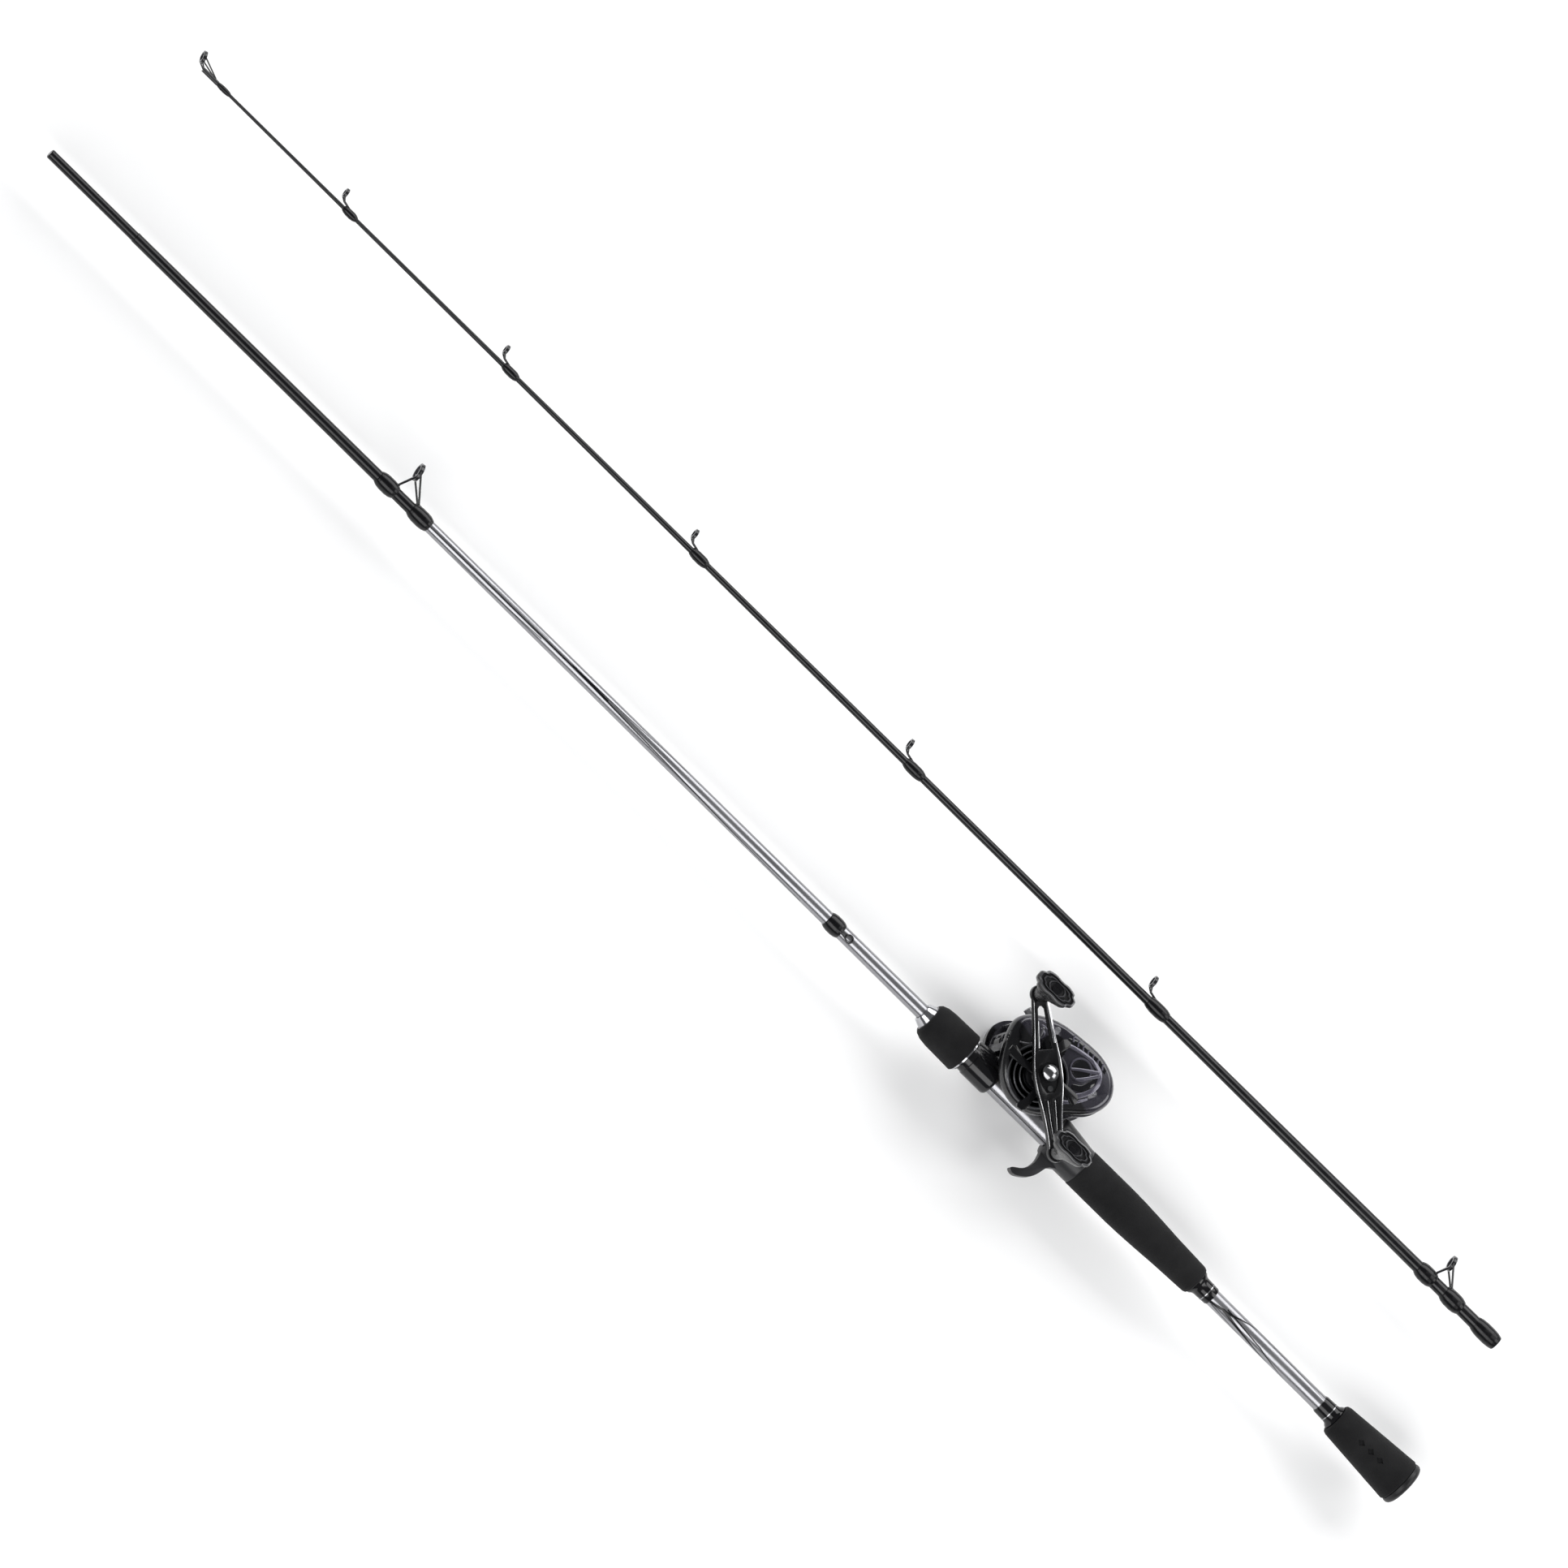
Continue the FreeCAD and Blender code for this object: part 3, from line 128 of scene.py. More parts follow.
world = bpy.data.worlds.new("room")
world.use_nodes = True
world.node_tree.nodes["Background"].inputs["Color"].default_value = (0.95, 0.97, 1.0, 1.0)
world.node_tree.nodes["Background"].inputs["Strength"].default_value = 0.16
scene.world = world


def soft_box(name, place, aim, width, height, power):
    data = bpy.data.lights.new(name, "AREA")
    data.shape = "RECTANGLE"
    data.size = width
    data.size_y = height
    data.energy = power
    lamp = bpy.data.objects.new(name, data)
    back = (Vector(place) - Vector(aim)).normalized()
    lamp.rotation_mode = "QUATERNION"
    lamp.rotation_quaternion = back.to_track_quat("Z", "Y")
    lamp.location = place
    scene.collection.objects.link(lamp)


soft_box("box_reel_side", (-0.33, 1.5, 1.1), (-0.33, 0, 0), 2.8, 1.3, 39.0)
soft_box("box_trigger_side", (-0.33, -1.3, 1.3), (-0.33, 0, 0), 2.8, 1.1, 33.0)
soft_box("box_butt_end", (1.6, 0.5, 1.4), (0, 0, 0), 1.2, 1.2, 17.0)


# ---- Butt section blank: tapered tube, 10.4 mm at the grips to 6 mm at the spigot. Silver lacquer up to the
# stripper guide with thin dark lines, partly a streaked pattern in the lacquer and partly painted dark
# reflections along the tube, gloss black from there on. The CAD tube keeps its shape.
def object_noise(tree, scale, detail=3.0, stretch=(1, 1, 1)):
    """Noise over the piece's own coordinates."""
    place = tree.nodes.new("ShaderNodeTexCoord")
    mapping = tree.nodes.new("ShaderNodeMapping")
    mapping.inputs["Scale"].default_value = stretch
    noise = tree.nodes.new("ShaderNodeTexNoise")
    noise.inputs["Scale"].default_value = scale
    noise.inputs["Detail"].default_value = detail
    tree.links.new(place.outputs["Object"], mapping.inputs["Vector"])
    tree.links.new(mapping.outputs["Vector"], noise.inputs["Vector"])
    return noise


def scaled_range(tree, source, low, high):
    """Stretches a noise socket, which mostly lies between 0.3 and 0.7, over a new range."""
    spread = tree.nodes.new("ShaderNodeMapRange")
    spread.inputs["From Min"].default_value = 0.3
    spread.inputs["From Max"].default_value = 0.7
    spread.inputs["To Min"].default_value = low
    spread.inputs["To Max"].default_value = high
    tree.links.new(source, spread.inputs["Value"])
    return spread.outputs["Result"]


def colour_mix(tree, factor, first, second):
    """Mix of two colours, each a triple or a socket, by a factor socket."""
    mix = tree.nodes.new("ShaderNodeMix")
    mix.data_type = "RGBA"
    tree.links.new(factor, mix.inputs[0])
    for slot_number, value in ((6, first), (7, second)):
        if isinstance(value, tuple):
            mix.inputs[slot_number].default_value = (*value, 1.0)
        else:
            tree.links.new(value, mix.inputs[slot_number])
    return mix.outputs[2]


def math_node(tree, operation, first, second=None, third=None):
    node = tree.nodes.new("ShaderNodeMath")
    node.operation = operation
    for number, value in enumerate((first, second, third)):
        if value is None:
            continue
        if isinstance(value, (int, float)):
            node.inputs[number].default_value = value
        else:
            tree.links.new(value, node.inputs[number])
    return node.outputs[0]


def streak_and_reflection_mask(tree, distance, angle, marks):
    """Sum of dark lines on the silver, the lacquer's streaked pattern and painted reflections alike; a mark
    is (start, end, angle at start, at end, width at start, at end).
    """
    total = None
    for start, end, first, last, wide_first, wide_last in marks:
        share = math_node(tree, "DIVIDE", math_node(tree, "SUBTRACT", distance, start), end - start)
        inside = math_node(tree, "MULTIPLY", math_node(tree, "GREATER_THAN", share, 0.0),
                           math_node(tree, "LESS_THAN", share, 1.0))
        eased = math_node(tree, "SMOOTH_MIN", share, 1.0, 0.3)
        middle = math_node(tree, "MULTIPLY_ADD", eased, last - first, first)
        width = math_node(tree, "MULTIPLY_ADD", share, wide_last - wide_first, wide_first)
        away = math_node(tree, "ABSOLUTE", math_node(tree, "SUBTRACT", angle, middle))
        line = math_node(tree, "SUBTRACT", 1.0, math_node(tree, "DIVIDE", away, width))
        line = math_node(tree, "MULTIPLY", line, 3.0)
        line = math_node(tree, "MINIMUM", math_node(tree, "MAXIMUM", line, 0.0), 1.0)
        line = math_node(tree, "MULTIPLY", line, inside)
        total = line if total is None else math_node(tree, "MAXIMUM", total, line)
    return total


SILVER = (0.42, 0.42, 0.44)
# This black also colours the painted dark reflections on the silver blank.
BLACK_LACQUER_AND_DARK_REFLECTION = (0.004, 0.004, 0.005)


def blank_finish(name, marks, black_from):
    """Silver lacquer with black lines, partly a streaked pattern and partly painted dark reflections, plain
    black beyond a distance from the butt end.
    """
    made, tree, principled = shader(name, SILVER, 0.22, 0.0, 0.15)
    principled.inputs["Specular IOR Level"].default_value = 0.25
    principled.inputs["Coat Roughness"].default_value = 0.04
    place = tree.nodes.new("ShaderNodeTexCoord")
    split = tree.nodes.new("ShaderNodeSeparateXYZ")
    tree.links.new(place.outputs["Object"], split.inputs[0])
    distance = math_node(tree, "MULTIPLY", math_node(tree, "SUBTRACT", BUTT_X, split.outputs["X"]), 1000.0)
    angle = math_node(tree, "ARCTAN2", split.outputs["Y"], split.outputs["Z"])
    wave = object_noise(tree, 14.0, 2.0)
    drifted = math_node(tree, "MULTIPLY_ADD", math_node(tree, "SUBTRACT", wave.outputs["Fac"], 0.5), 0.2,
                        angle)
    flake = object_noise(tree, 5200.0, 1.0)
    silver = colour_mix(tree, scaled_range(tree, flake.outputs["Fac"], 0.0, 1.0), (0.25, 0.25, 0.265),
                        (0.37, 0.37, 0.385))
    front = math_node(tree, "GREATER_THAN", distance, black_from)
    # This mask paints the lacquer's streaked pattern and painted dark reflections alike.
    streaks_and_reflections = streak_and_reflection_mask(tree, distance, drifted, marks)
    black = math_node(tree, "MAXIMUM", front, streaks_and_reflections)
    tree.links.new(colour_mix(tree, black, silver, BLACK_LACQUER_AND_DARK_REFLECTION), principled.inputs["Base Color"])
    tree.links.new(math_node(tree, "MULTIPLY", math_node(tree, "SUBTRACT", 1.0, black), 0.82),
                   principled.inputs["Metallic"])
    smudge = object_noise(tree, 90.0, 4.0, (0.3, 1, 1))
    tree.links.new(scaled_range(tree, smudge.outputs["Fac"], 0.20, 0.30), principled.inputs["Roughness"])
    peel = object_noise(tree, 420.0, 2.0, (0.4, 1, 1))
    bump = tree.nodes.new("ShaderNodeBump")
    bump.inputs["Strength"].default_value = 0.05
    bump.inputs["Distance"].default_value = 0.0001
    tree.links.new(peel.outputs["Fac"], bump.inputs["Height"])
    tree.links.new(bump.outputs["Normal"], principled.inputs["Coat Normal"])
    return made


def dress(node, material):
    """Gives a CAD node its material; its shape stays."""
    mesh = frame["nodes"][node].data
    mesh.materials.clear()
    mesh.materials.append(material)


# Each mark is a dark line on the silver, partly the lacquer's streaked pattern and partly painted dark
# reflections running straight along the tube: its two ends' distances, its angle from the crank side at each,
# its half width at each.
rear_marks = [(161, 146, -0.85, -0.25, 0.22, 0.16), (146, 128, -0.25, 0.92, 0.16, 0.07),
              (128, 71, 0.92, 0.30, 0.05, 0.04), (150, 120, -0.10, -0.62, 0.10, 0.09),
              (120, 97, -0.62, -1.50, 0.09, 0.05), (152, 112, -0.45, -1.55, 0.24, 0.10),
              (159, 134, -1.00, -1.50, 0.07, 0.04)]
front_marks = [(500, 600, -1.39, -0.79, 0.06, 0.10), (600, 668, -0.79, -0.30, 0.10, 0.14),
               (664, 694, -0.25, -0.12, 0.24, 0.20), (600, 645, 0.65, 0.21, 0.05, 0.08),
               (645, 694, 0.21, -0.10, 0.08, 0.10), (694, 812, -0.20, -0.25, 0.14, 0.07),
               (718, 790, -0.55, -1.20, 0.07, 0.05), (715, 760, 0.26, 0.22, 0.04, 0.03)]
stripper_wrap_start = 817.0
past_the_tip = 5000.0
dress("butt_blank", blank_finish("blank_lacquer_and_painted_reflections", rear_marks + front_marks, stripper_wrap_start))
# The sleeve's single mark is a painted dark reflection running straight along the plain silver.
sleeve_reflection_line = [(271, 400, -0.98, -0.98, 0.05, 0.05)]
dress("seat_sleeve", blank_finish("sleeve_lacquer_and_painted_reflection", sleeve_reflection_line, past_the_tip))


# ---- Butt cap and butt grip: a moulded rubber cap glued over the end of a tapered foam grip,
# which has three diamond pockets on the crank side. Matte black foam, fine closed cells.
def finish(name, colour, rough, metal=0.0, coat=0.0, tint=None, tint_scale=60.0, rough_spread=0.06,
           grain_scale=900.0, grain=0.15, grain_depth=0.00008, stretch=(1, 1, 1), sheen=0.0):
    """Material with colour drift, uneven roughness and a fine bump."""
    made, tree, principled = shader(name, colour, rough, metal, coat)
    drift = object_noise(tree, tint_scale, 4.0, stretch)
    second = tint or tuple(min(1.0, c * 1.35 + 0.004) for c in colour)
    blend = scaled_range(tree, drift.outputs["Fac"], 0.0, 1.0)
    base = colour_mix(tree, blend, colour, second)
    tree.links.new(base, principled.inputs["Base Color"])
    smudge = object_noise(tree, tint_scale * 2.3, 5.0, stretch)
    tree.links.new(scaled_range(tree, smudge.outputs["Fac"], rough - rough_spread, rough + rough_spread),
                   principled.inputs["Roughness"])
    fine = object_noise(tree, grain_scale, 2.0, stretch)
    bump = tree.nodes.new("ShaderNodeBump")
    bump.inputs["Strength"].default_value = grain
    bump.inputs["Distance"].default_value = grain_depth
    tree.links.new(fine.outputs["Fac"], bump.inputs["Height"])
    tree.links.new(bump.outputs["Normal"], principled.inputs["Normal"])
    principled.inputs["Sheen Weight"].default_value = sheen
    return made


def foam(name):
    """Matte closed-cell foam: the fine bump has a second layer of cells on it."""
    made = finish(name, (0.0035, 0.0035, 0.004), 0.88, tint=(0.008, 0.008, 0.0085), tint_scale=45.0,
                  grain_scale=1500.0, grain=0.55, grain_depth=0.00016, sheen=0.04)
    tree = made.node_tree
    principled = tree.nodes["Principled BSDF"]
    cells = tree.nodes.new("ShaderNodeTexVoronoi")
    cells.inputs["Scale"].default_value = 850.0
    place = tree.nodes.new("ShaderNodeTexCoord")
    tree.links.new(place.outputs["Object"], cells.inputs["Vector"])
    bump = tree.nodes.new("ShaderNodeBump")
    bump.inputs["Strength"].default_value = 0.35
    bump.inputs["Distance"].default_value = 0.0002
    tree.links.new(cells.outputs["Distance"], bump.inputs["Height"])
    tree.links.new(principled.inputs["Normal"].links[0].from_socket, bump.inputs["Normal"])
    tree.links.new(bump.outputs["Normal"], principled.inputs["Normal"])
    principled.inputs["Specular IOR Level"].default_value = 0.25
    return made


def piece(bm, name, materials, body, nodes=()):
    """Turns a bmesh into a finished piece that rides on a body."""
    bmesh.ops.recalc_face_normals(bm, faces=bm.faces)
    for face in bm.faces:
        face.smooth = True
    limit = math.radians(35.0)
    for edge in bm.edges:
        if len(edge.link_faces) == 2 and edge.calc_face_angle(0.0) > limit:
            edge.smooth = False
    mesh = bpy.data.meshes.new(name)
    bm.to_mesh(mesh)
    bm.free()
    for material in materials if isinstance(materials, (list, tuple)) else [materials]:
        mesh.materials.append(material)
    made = bpy.data.objects.new(name, mesh)
    scene.collection.objects.link(made)
    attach(made, body)
    if nodes:
        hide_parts(*nodes)
    return made


foam_finish = foam("closed_cell_foam")
pocket_turn = 0.27
turned_grip = bmesh.new()
turned_grip.from_mesh(frame["nodes"]["butt_grip"].data)
bmesh.ops.remove_doubles(turned_grip, verts=turned_grip.verts, dist=2e-6)
bmesh.ops.rotate(turned_grip, verts=turned_grip.verts, cent=(0, 0, 0),
                 matrix=Matrix.Rotation(pocket_turn, 3, "X"))
piece(turned_grip, "butt_grip_foam", foam_finish, "butt_section", ["butt_grip"])


def at(distance, y=0.0, z=0.0):
    """Row position of a distance from the butt end and offsets from the axis, all in mm."""
    return Vector((BUTT_X - distance * MM, y * MM, z * MM))


def lathe(profile):
    """Solid of revolution about the blank's axis; profile is a closed ring of (distance, radius) in mm."""
    bm = bmesh.new()
    corners = [bm.verts.new(at(distance, radius)) for distance, radius in profile]
    edges = [bm.edges.new((a, b)) for a, b in zip(corners, corners[1:] + corners[:1])]
    bmesh.ops.spin(bm, geom=corners + edges, cent=(0, 0, 0), axis=(1, 0, 0),
                   angle=2 * math.pi, steps=72, use_merge=True)
    bmesh.ops.remove_doubles(bm, verts=bm.verts, dist=1e-7)
    return bm


cap_finish = finish("cap_rubber", (0.006, 0.006, 0.0065), 0.42, tint=(0.012, 0.012, 0.013), tint_scale=70.0,
                    grain=0.2)
cap_profile = [(5.35, 0.4), (5.35, 6.0), (5.35, 13.0), (4.8, 13.9), (3.6, 14.3), (2.2, 14.25), (1.1, 13.6),
               (0.35, 12.4), (0.0, 10.8), (0.0, 9.0), (0.35, 8.6), (0.35, 7.0), (0.0, 6.6), (0.0, 0.4)]
piece(lathe(cap_profile), "butt_cap_rubber", cap_finish, "butt_section", ["butt_cap"])

# ---- Winding checks: turned gloss black rings glued over the blank to close the foam ends.
# Each flares out against its grip and has a thin bright line cut round it.
gloss_black = finish("gloss_black_trim", (0.003, 0.003, 0.0035), 0.14, coat=0.15, tint=(0.006, 0.006, 0.007),
                     tint_scale=120.0, rough_spread=0.04, grain=0.04)
check_bore = 5.25
butt_check = [(58.0, check_bore), (58.0, 8.0), (58.8, 8.2), (59.8, 7.6), (61.0, 6.5), (62.4, 6.15),
              (66.0, 6.05), (70.2, 5.9), (71.0, 5.5), (71.0, check_bore)]
rear_check = [(161.0, check_bore), (161.0, 5.5), (161.8, 5.9), (167.0, 6.1), (170.4, 6.3), (172.0, 6.9),
              (173.0, 7.8), (174.0, 8.0), (174.0, check_bore)]
piece(lathe(butt_check), "butt_check_ring", gloss_black, "butt_section", ["butt_grip_check"])
piece(lathe(rear_check), "rear_check_ring", gloss_black, "butt_section", ["rear_grip_check"])
check_line = finish("check_line", (0.30, 0.30, 0.31), 0.2, metal=0.9, tint=(0.36, 0.36, 0.37),
                    tint_scale=200.0)
piece(lathe([(63.2, 5.9), (63.2, 6.25), (63.8, 6.25), (63.8, 5.9)]), "butt_check_line", check_line,
      "butt_section")
piece(lathe([(165.2, 5.9), (165.2, 6.2), (165.8, 6.2), (165.8, 5.9)]), "rear_check_line", check_line,
      "butt_section")

# ---- Rear grip and fore grip: turned from the same foam as the butt grip. The fore grip is glued
# over the seat nut and turns with it.
for grip in ("rear_grip", "fore_grip"):
    dress(grip, foam_finish)


# ---- Reel seat: satin grey moulding with a curved finger trigger; the silver sleeve runs on under the reel.
# The hood slides on the sleeve, pushed by the nut, whose collar and ring are chromed.
def rounded_copy(node, offset, keep=None):
    """Merged copy of a CAD node with its hard edges bevelled by offset mm; keep picks them by midpoint."""
    bm = bmesh.new()
    bm.from_mesh(frame["nodes"][node].data)
    bmesh.ops.remove_doubles(bm, verts=bm.verts, dist=2e-6)
    bmesh.ops.dissolve_limit(bm, angle_limit=math.radians(1.5), verts=bm.verts, edges=bm.edges,
                             use_dissolve_boundaries=False)
    limit = math.radians(40.0)
    edges = [e for e in bm.edges if len(e.link_faces) == 2 and e.calc_face_angle(0.0) > limit
             and (keep is None or keep((e.verts[0].co + e.verts[1].co) / 2))]
    bmesh.ops.bevel(bm, geom=edges, offset=offset * MM, segments=2, profile=0.5, affect="EDGES",
                    material=-1, clamp_overlap=True)
    return bm


seat_finish = finish("seat_plastic", (0.012, 0.012, 0.013), 0.36, tint=(0.021, 0.021, 0.023),
                     tint_scale=50.0, grain=0.3, grain_scale=1300.0, coat=0.1)
piece(rounded_copy("reel_seat", 0.5), "reel_seat_body", seat_finish, "butt_section", ["reel_seat"])
hood_finish = finish("hood_black", (0.0035, 0.0035, 0.004), 0.16, coat=0.2, tint=(0.007, 0.007, 0.008),
                     tint_scale=80.0, grain=0.05)
piece(rounded_copy("front_hood", 0.5), "front_hood_body", hood_finish, "moving_hood", ["front_hood"])
dress("hood_nut", hood_finish)
chrome = finish("chrome", (0.46, 0.46, 0.48), 0.14, metal=1.0, tint=(0.58, 0.58, 0.60), tint_scale=90.0,
                rough_spread=0.04, grain=0.03)
dress("nut_ring", chrome)
dress("fore_grip_collar", chrome)

# ---- Tip section blank: a thinner tube in gloss black lacquer, tapering from the socket at its thick end
# to the tip top.
black_lacquer = finish("black_lacquer", BLACK_LACQUER_AND_DARK_REFLECTION, 0.16, coat=0.1, tint=(0.012, 0.012, 0.013),
                       tint_scale=160.0, rough_spread=0.04, grain=0.04)
dress("tip_blank", black_lacquer)


# ---- Thread wraps: black nylon thread wound over the guides' feet and round the ferrule's mouth,
# then sealed in clear varnish.
def thread(name):
    """Fine turns of thread under a slightly uneven clear coat."""
    made, tree, principled = shader(name, (0.002, 0.002, 0.002), 0.22, 0.0, 0.1)
    principled.inputs["Coat Roughness"].default_value = 0.06
    place = tree.nodes.new("ShaderNodeTexCoord")
    wave = tree.nodes.new("ShaderNodeTexWave")
    wave.bands_direction = "X"
    wave.inputs["Scale"].default_value = 480.0
    wave.inputs["Distortion"].default_value = 0.6
    tree.links.new(place.outputs["Object"], wave.inputs["Vector"])
    tree.links.new(colour_mix(tree, wave.outputs["Fac"], (0.0015, 0.0015, 0.002), (0.004, 0.004, 0.005)),
                   principled.inputs["Base Color"])
    bump = tree.nodes.new("ShaderNodeBump")
    bump.inputs["Strength"].default_value = 0.25
    bump.inputs["Distance"].default_value = 0.00015
    tree.links.new(wave.outputs["Fac"], bump.inputs["Height"])
    tree.links.new(bump.outputs["Normal"], principled.inputs["Normal"])
    principled.inputs["Specular IOR Level"].default_value = 0.25
    run = object_noise(tree, 260.0, 2.0)
    coat_bump = tree.nodes.new("ShaderNodeBump")
    coat_bump.inputs["Strength"].default_value = 0.06
    coat_bump.inputs["Distance"].default_value = 0.0003
    tree.links.new(run.outputs["Fac"], coat_bump.inputs["Height"])
    tree.links.new(coat_bump.outputs["Normal"], principled.inputs["Coat Normal"])
    return made


thread_finish = thread("thread_and_varnish")
for wrap in ("butt_wraps", "guide_wraps", "ferrule_wrap"):
    dress(wrap, thread_finish)

# ---- Guides: bent wire frames coated black, each with a polished dark ceramic ring pressed in.
# The small wire eye for parking the hook is coated the same.
wire_black = finish("coated_wire", (0.008, 0.008, 0.009), 0.20, coat=0.4, tint=(0.018, 0.018, 0.02),
                    tint_scale=200.0, grain=0.08)
for wire in ("stripper_frame", "guide_2_frame", "running_frames", "hook_keeper"):
    dress(wire, wire_black)
ceramic = finish("ceramic", (0.02, 0.02, 0.024), 0.08, coat=0.3, tint=(0.035, 0.035, 0.04), tint_scale=150.0,
                 rough_spread=0.03, grain=0.02)
dress("stripper_ring", ceramic)
dress("guide_rings", ceramic)

# ---- Reel frame: one moulding with two side walls, posts, thumb deck and level-wind tunnel.
# The nose cover closes it at the front, a small pale knob stands on it, and the foot is screwed under it.
reel_grey = finish("frame_grey", (0.022, 0.022, 0.026), 0.26, metal=0.35, coat=0.3,
                   tint=(0.042, 0.041, 0.050), tint_scale=60.0, grain=0.1)


nose_start = 350.0
nose_share = 0.74
knob_stem_foot = 0.0432


def drawn_in(bm):
    """Draws the nose back towards the spool, below the foot of the knob's stem."""
    for vert in bm.verts:
        distance = (BUTT_X - vert.co.x) / MM
        if distance > nose_start and vert.co.y < knob_stem_foot:
            vert.co.x = BUTT_X - (nose_start + (distance - nose_start) * nose_share) * MM
    return bm


piece(drawn_in(rounded_copy("reel_frame", 0.35)), "reel_frame_body", reel_grey, "butt_section",
      ["reel_frame"])
piece(drawn_in(rounded_copy("nose_cover", 0.3)), "nose_cover_body", reel_grey, "butt_section", ["nose_cover"])
dress("nose_knob", finish("nose_knob_grey", (0.12, 0.12, 0.125), 0.25, metal=0.6, tint=(0.3, 0.3, 0.31),
                          tint_scale=300.0))
foot_finish = finish("anodised_foot", (0.05, 0.05, 0.055), 0.35, metal=0.8, tint=(0.08, 0.08, 0.085),
                     tint_scale=120.0)
dress("reel_foot", foot_finish)


# ---- Side covers: die-cast shells in dark violet-grey metallic paint, gloss black below and at the rear.
# Their outer edges are well rounded; the raised trim on the crank's side is cast on or let in.
def metal_paint(name, slope, offset):
    """Flaked paint that turns gloss black below a line, y = slope * distance + offset, in mm."""
    made, tree, principled = shader(name, (0.06, 0.057, 0.08), 0.28, 0.35, 0.7)
    principled.inputs["Coat Roughness"].default_value = 0.05
    flake = object_noise(tree, 4200.0, 1.0)
    violet = colour_mix(tree, scaled_range(tree, flake.outputs["Fac"], 0.0, 1.0), (0.014, 0.0135, 0.019),
                        (0.034, 0.032, 0.045))
    place = tree.nodes.new("ShaderNodeTexCoord")
    split = tree.nodes.new("ShaderNodeSeparateXYZ")
    tree.links.new(place.outputs["Object"], split.inputs[0])
    distance = math_node(tree, "MULTIPLY", math_node(tree, "SUBTRACT", BUTT_X, split.outputs["X"]), 1000.0)
    height = math_node(tree, "MULTIPLY", split.outputs["Y"], 1000.0)
    wave = object_noise(tree, 60.0, 2.0)
    drift = math_node(tree, "MULTIPLY", math_node(tree, "SUBTRACT", wave.outputs["Fac"], 0.5), 3.0)
    edge = math_node(tree, "ADD", math_node(tree, "MULTIPLY_ADD", distance, slope, offset), drift)
    dark = math_node(tree, "SUBTRACT", edge, height)
    dark = math_node(tree, "MINIMUM", math_node(tree, "MAXIMUM", math_node(tree, "MULTIPLY", dark, 0.8),
                                                0.0), 1.0)
    tree.links.new(colour_mix(tree, dark, violet, (0.003, 0.003, 0.004)), principled.inputs["Base Color"])
    smudge = object_noise(tree, 160.0, 4.0)
    tree.links.new(scaled_range(tree, smudge.outputs["Fac"], 0.22, 0.34), principled.inputs["Roughness"])
    return made


cover_paint = metal_paint("violet_paint", 0.16, -27.0)
cover_seam = 0.0215
piece(rounded_copy("handle_side_cover", 0.8, lambda middle: middle.z > cover_seam), "handle_cover_shell",
      cover_paint, "butt_section", ["handle_side_cover"])
piece(rounded_copy("palm_side_cover", 0.8, lambda middle: middle.z < -cover_seam), "palm_cover_shell",
      cover_paint, "butt_section", ["palm_side_cover"])
relief_paint = finish("violet_relief", (0.085, 0.081, 0.105), 0.22, metal=0.5, coat=0.5,
                      tint=(0.14, 0.135, 0.17), tint_scale=90.0, grain=0.05)
inlay_black = finish("inlay_black", (0.003, 0.003, 0.004), 0.10, coat=0.8, tint=(0.007, 0.007, 0.009),
                     tint_scale=90.0, grain=0.04)
rim_grey = finish("rim_grey", (0.10, 0.10, 0.108), 0.22, metal=0.6, coat=0.5, tint=(0.16, 0.16, 0.17),
                  tint_scale=140.0, grain=0.05)


def plate(points, low, high, bevel=0.3):
    """Flat plate from a closed outline of (distance, y), with its top edge rounded."""
    bm = bmesh.new()
    base = bm.faces.new([bm.verts.new(at(distance, y, low)) for distance, y in points])
    raised = bmesh.ops.extrude_face_region(bm, geom=[base])["geom"]
    bmesh.ops.translate(bm, verts=[v for v in raised if isinstance(v, bmesh.types.BMVert)],
                        vec=Vector((0, 0, (high - low) * MM)))
    top = [f for f in raised if isinstance(f, bmesh.types.BMFace)]
    bmesh.ops.bevel(bm, geom=[e for f in top for e in f.edges], offset=bevel * MM, segments=2, profile=0.5,
                    affect="EDGES", material=-1, clamp_overlap=True)
    return bm


def rounded(points, steps=6):
    """Catmull-Rom curve through points."""
    out = []
    for i in range(len(points) - 1):
        p0 = points[max(0, i - 1)]
        p1 = points[i]
        p2 = points[i + 1]
        p3 = points[min(len(points) - 1, i + 2)]
        for step in range(steps):
            t = step / steps
            out.append(tuple(0.5 * (2 * b + (c - a) * t + (2 * a - 5 * b + 4 * c - d) * t * t
                                    + (3 * b - a - 3 * c + d) * t ** 3)
                             for a, b, c, d in zip(p0, p1, p2, p3)))
    out.append(tuple(points[-1]))
    return out


def band(points, width, low, high, bevel=0.3, steps=6):
    """Raised band of a width along a curve through points."""
    path = rounded(points, steps)
    left = []
    rights = []
    for i, (x, y) in enumerate(path):
        before = path[max(0, i - 1)]
        after = path[min(len(path) - 1, i + 1)]
        way = Vector((after[0] - before[0], after[1] - before[1])).normalized()
        wide = width[0] + (width[1] - width[0]) * i / (len(path) - 1) if isinstance(width, tuple) else width
        left.append((x - way.y * wide / 2, y + way.x * wide / 2))
        rights.append((x + way.y * wide / 2, y - way.x * wide / 2))
    return plate(left + rights[::-1], low, high, bevel)


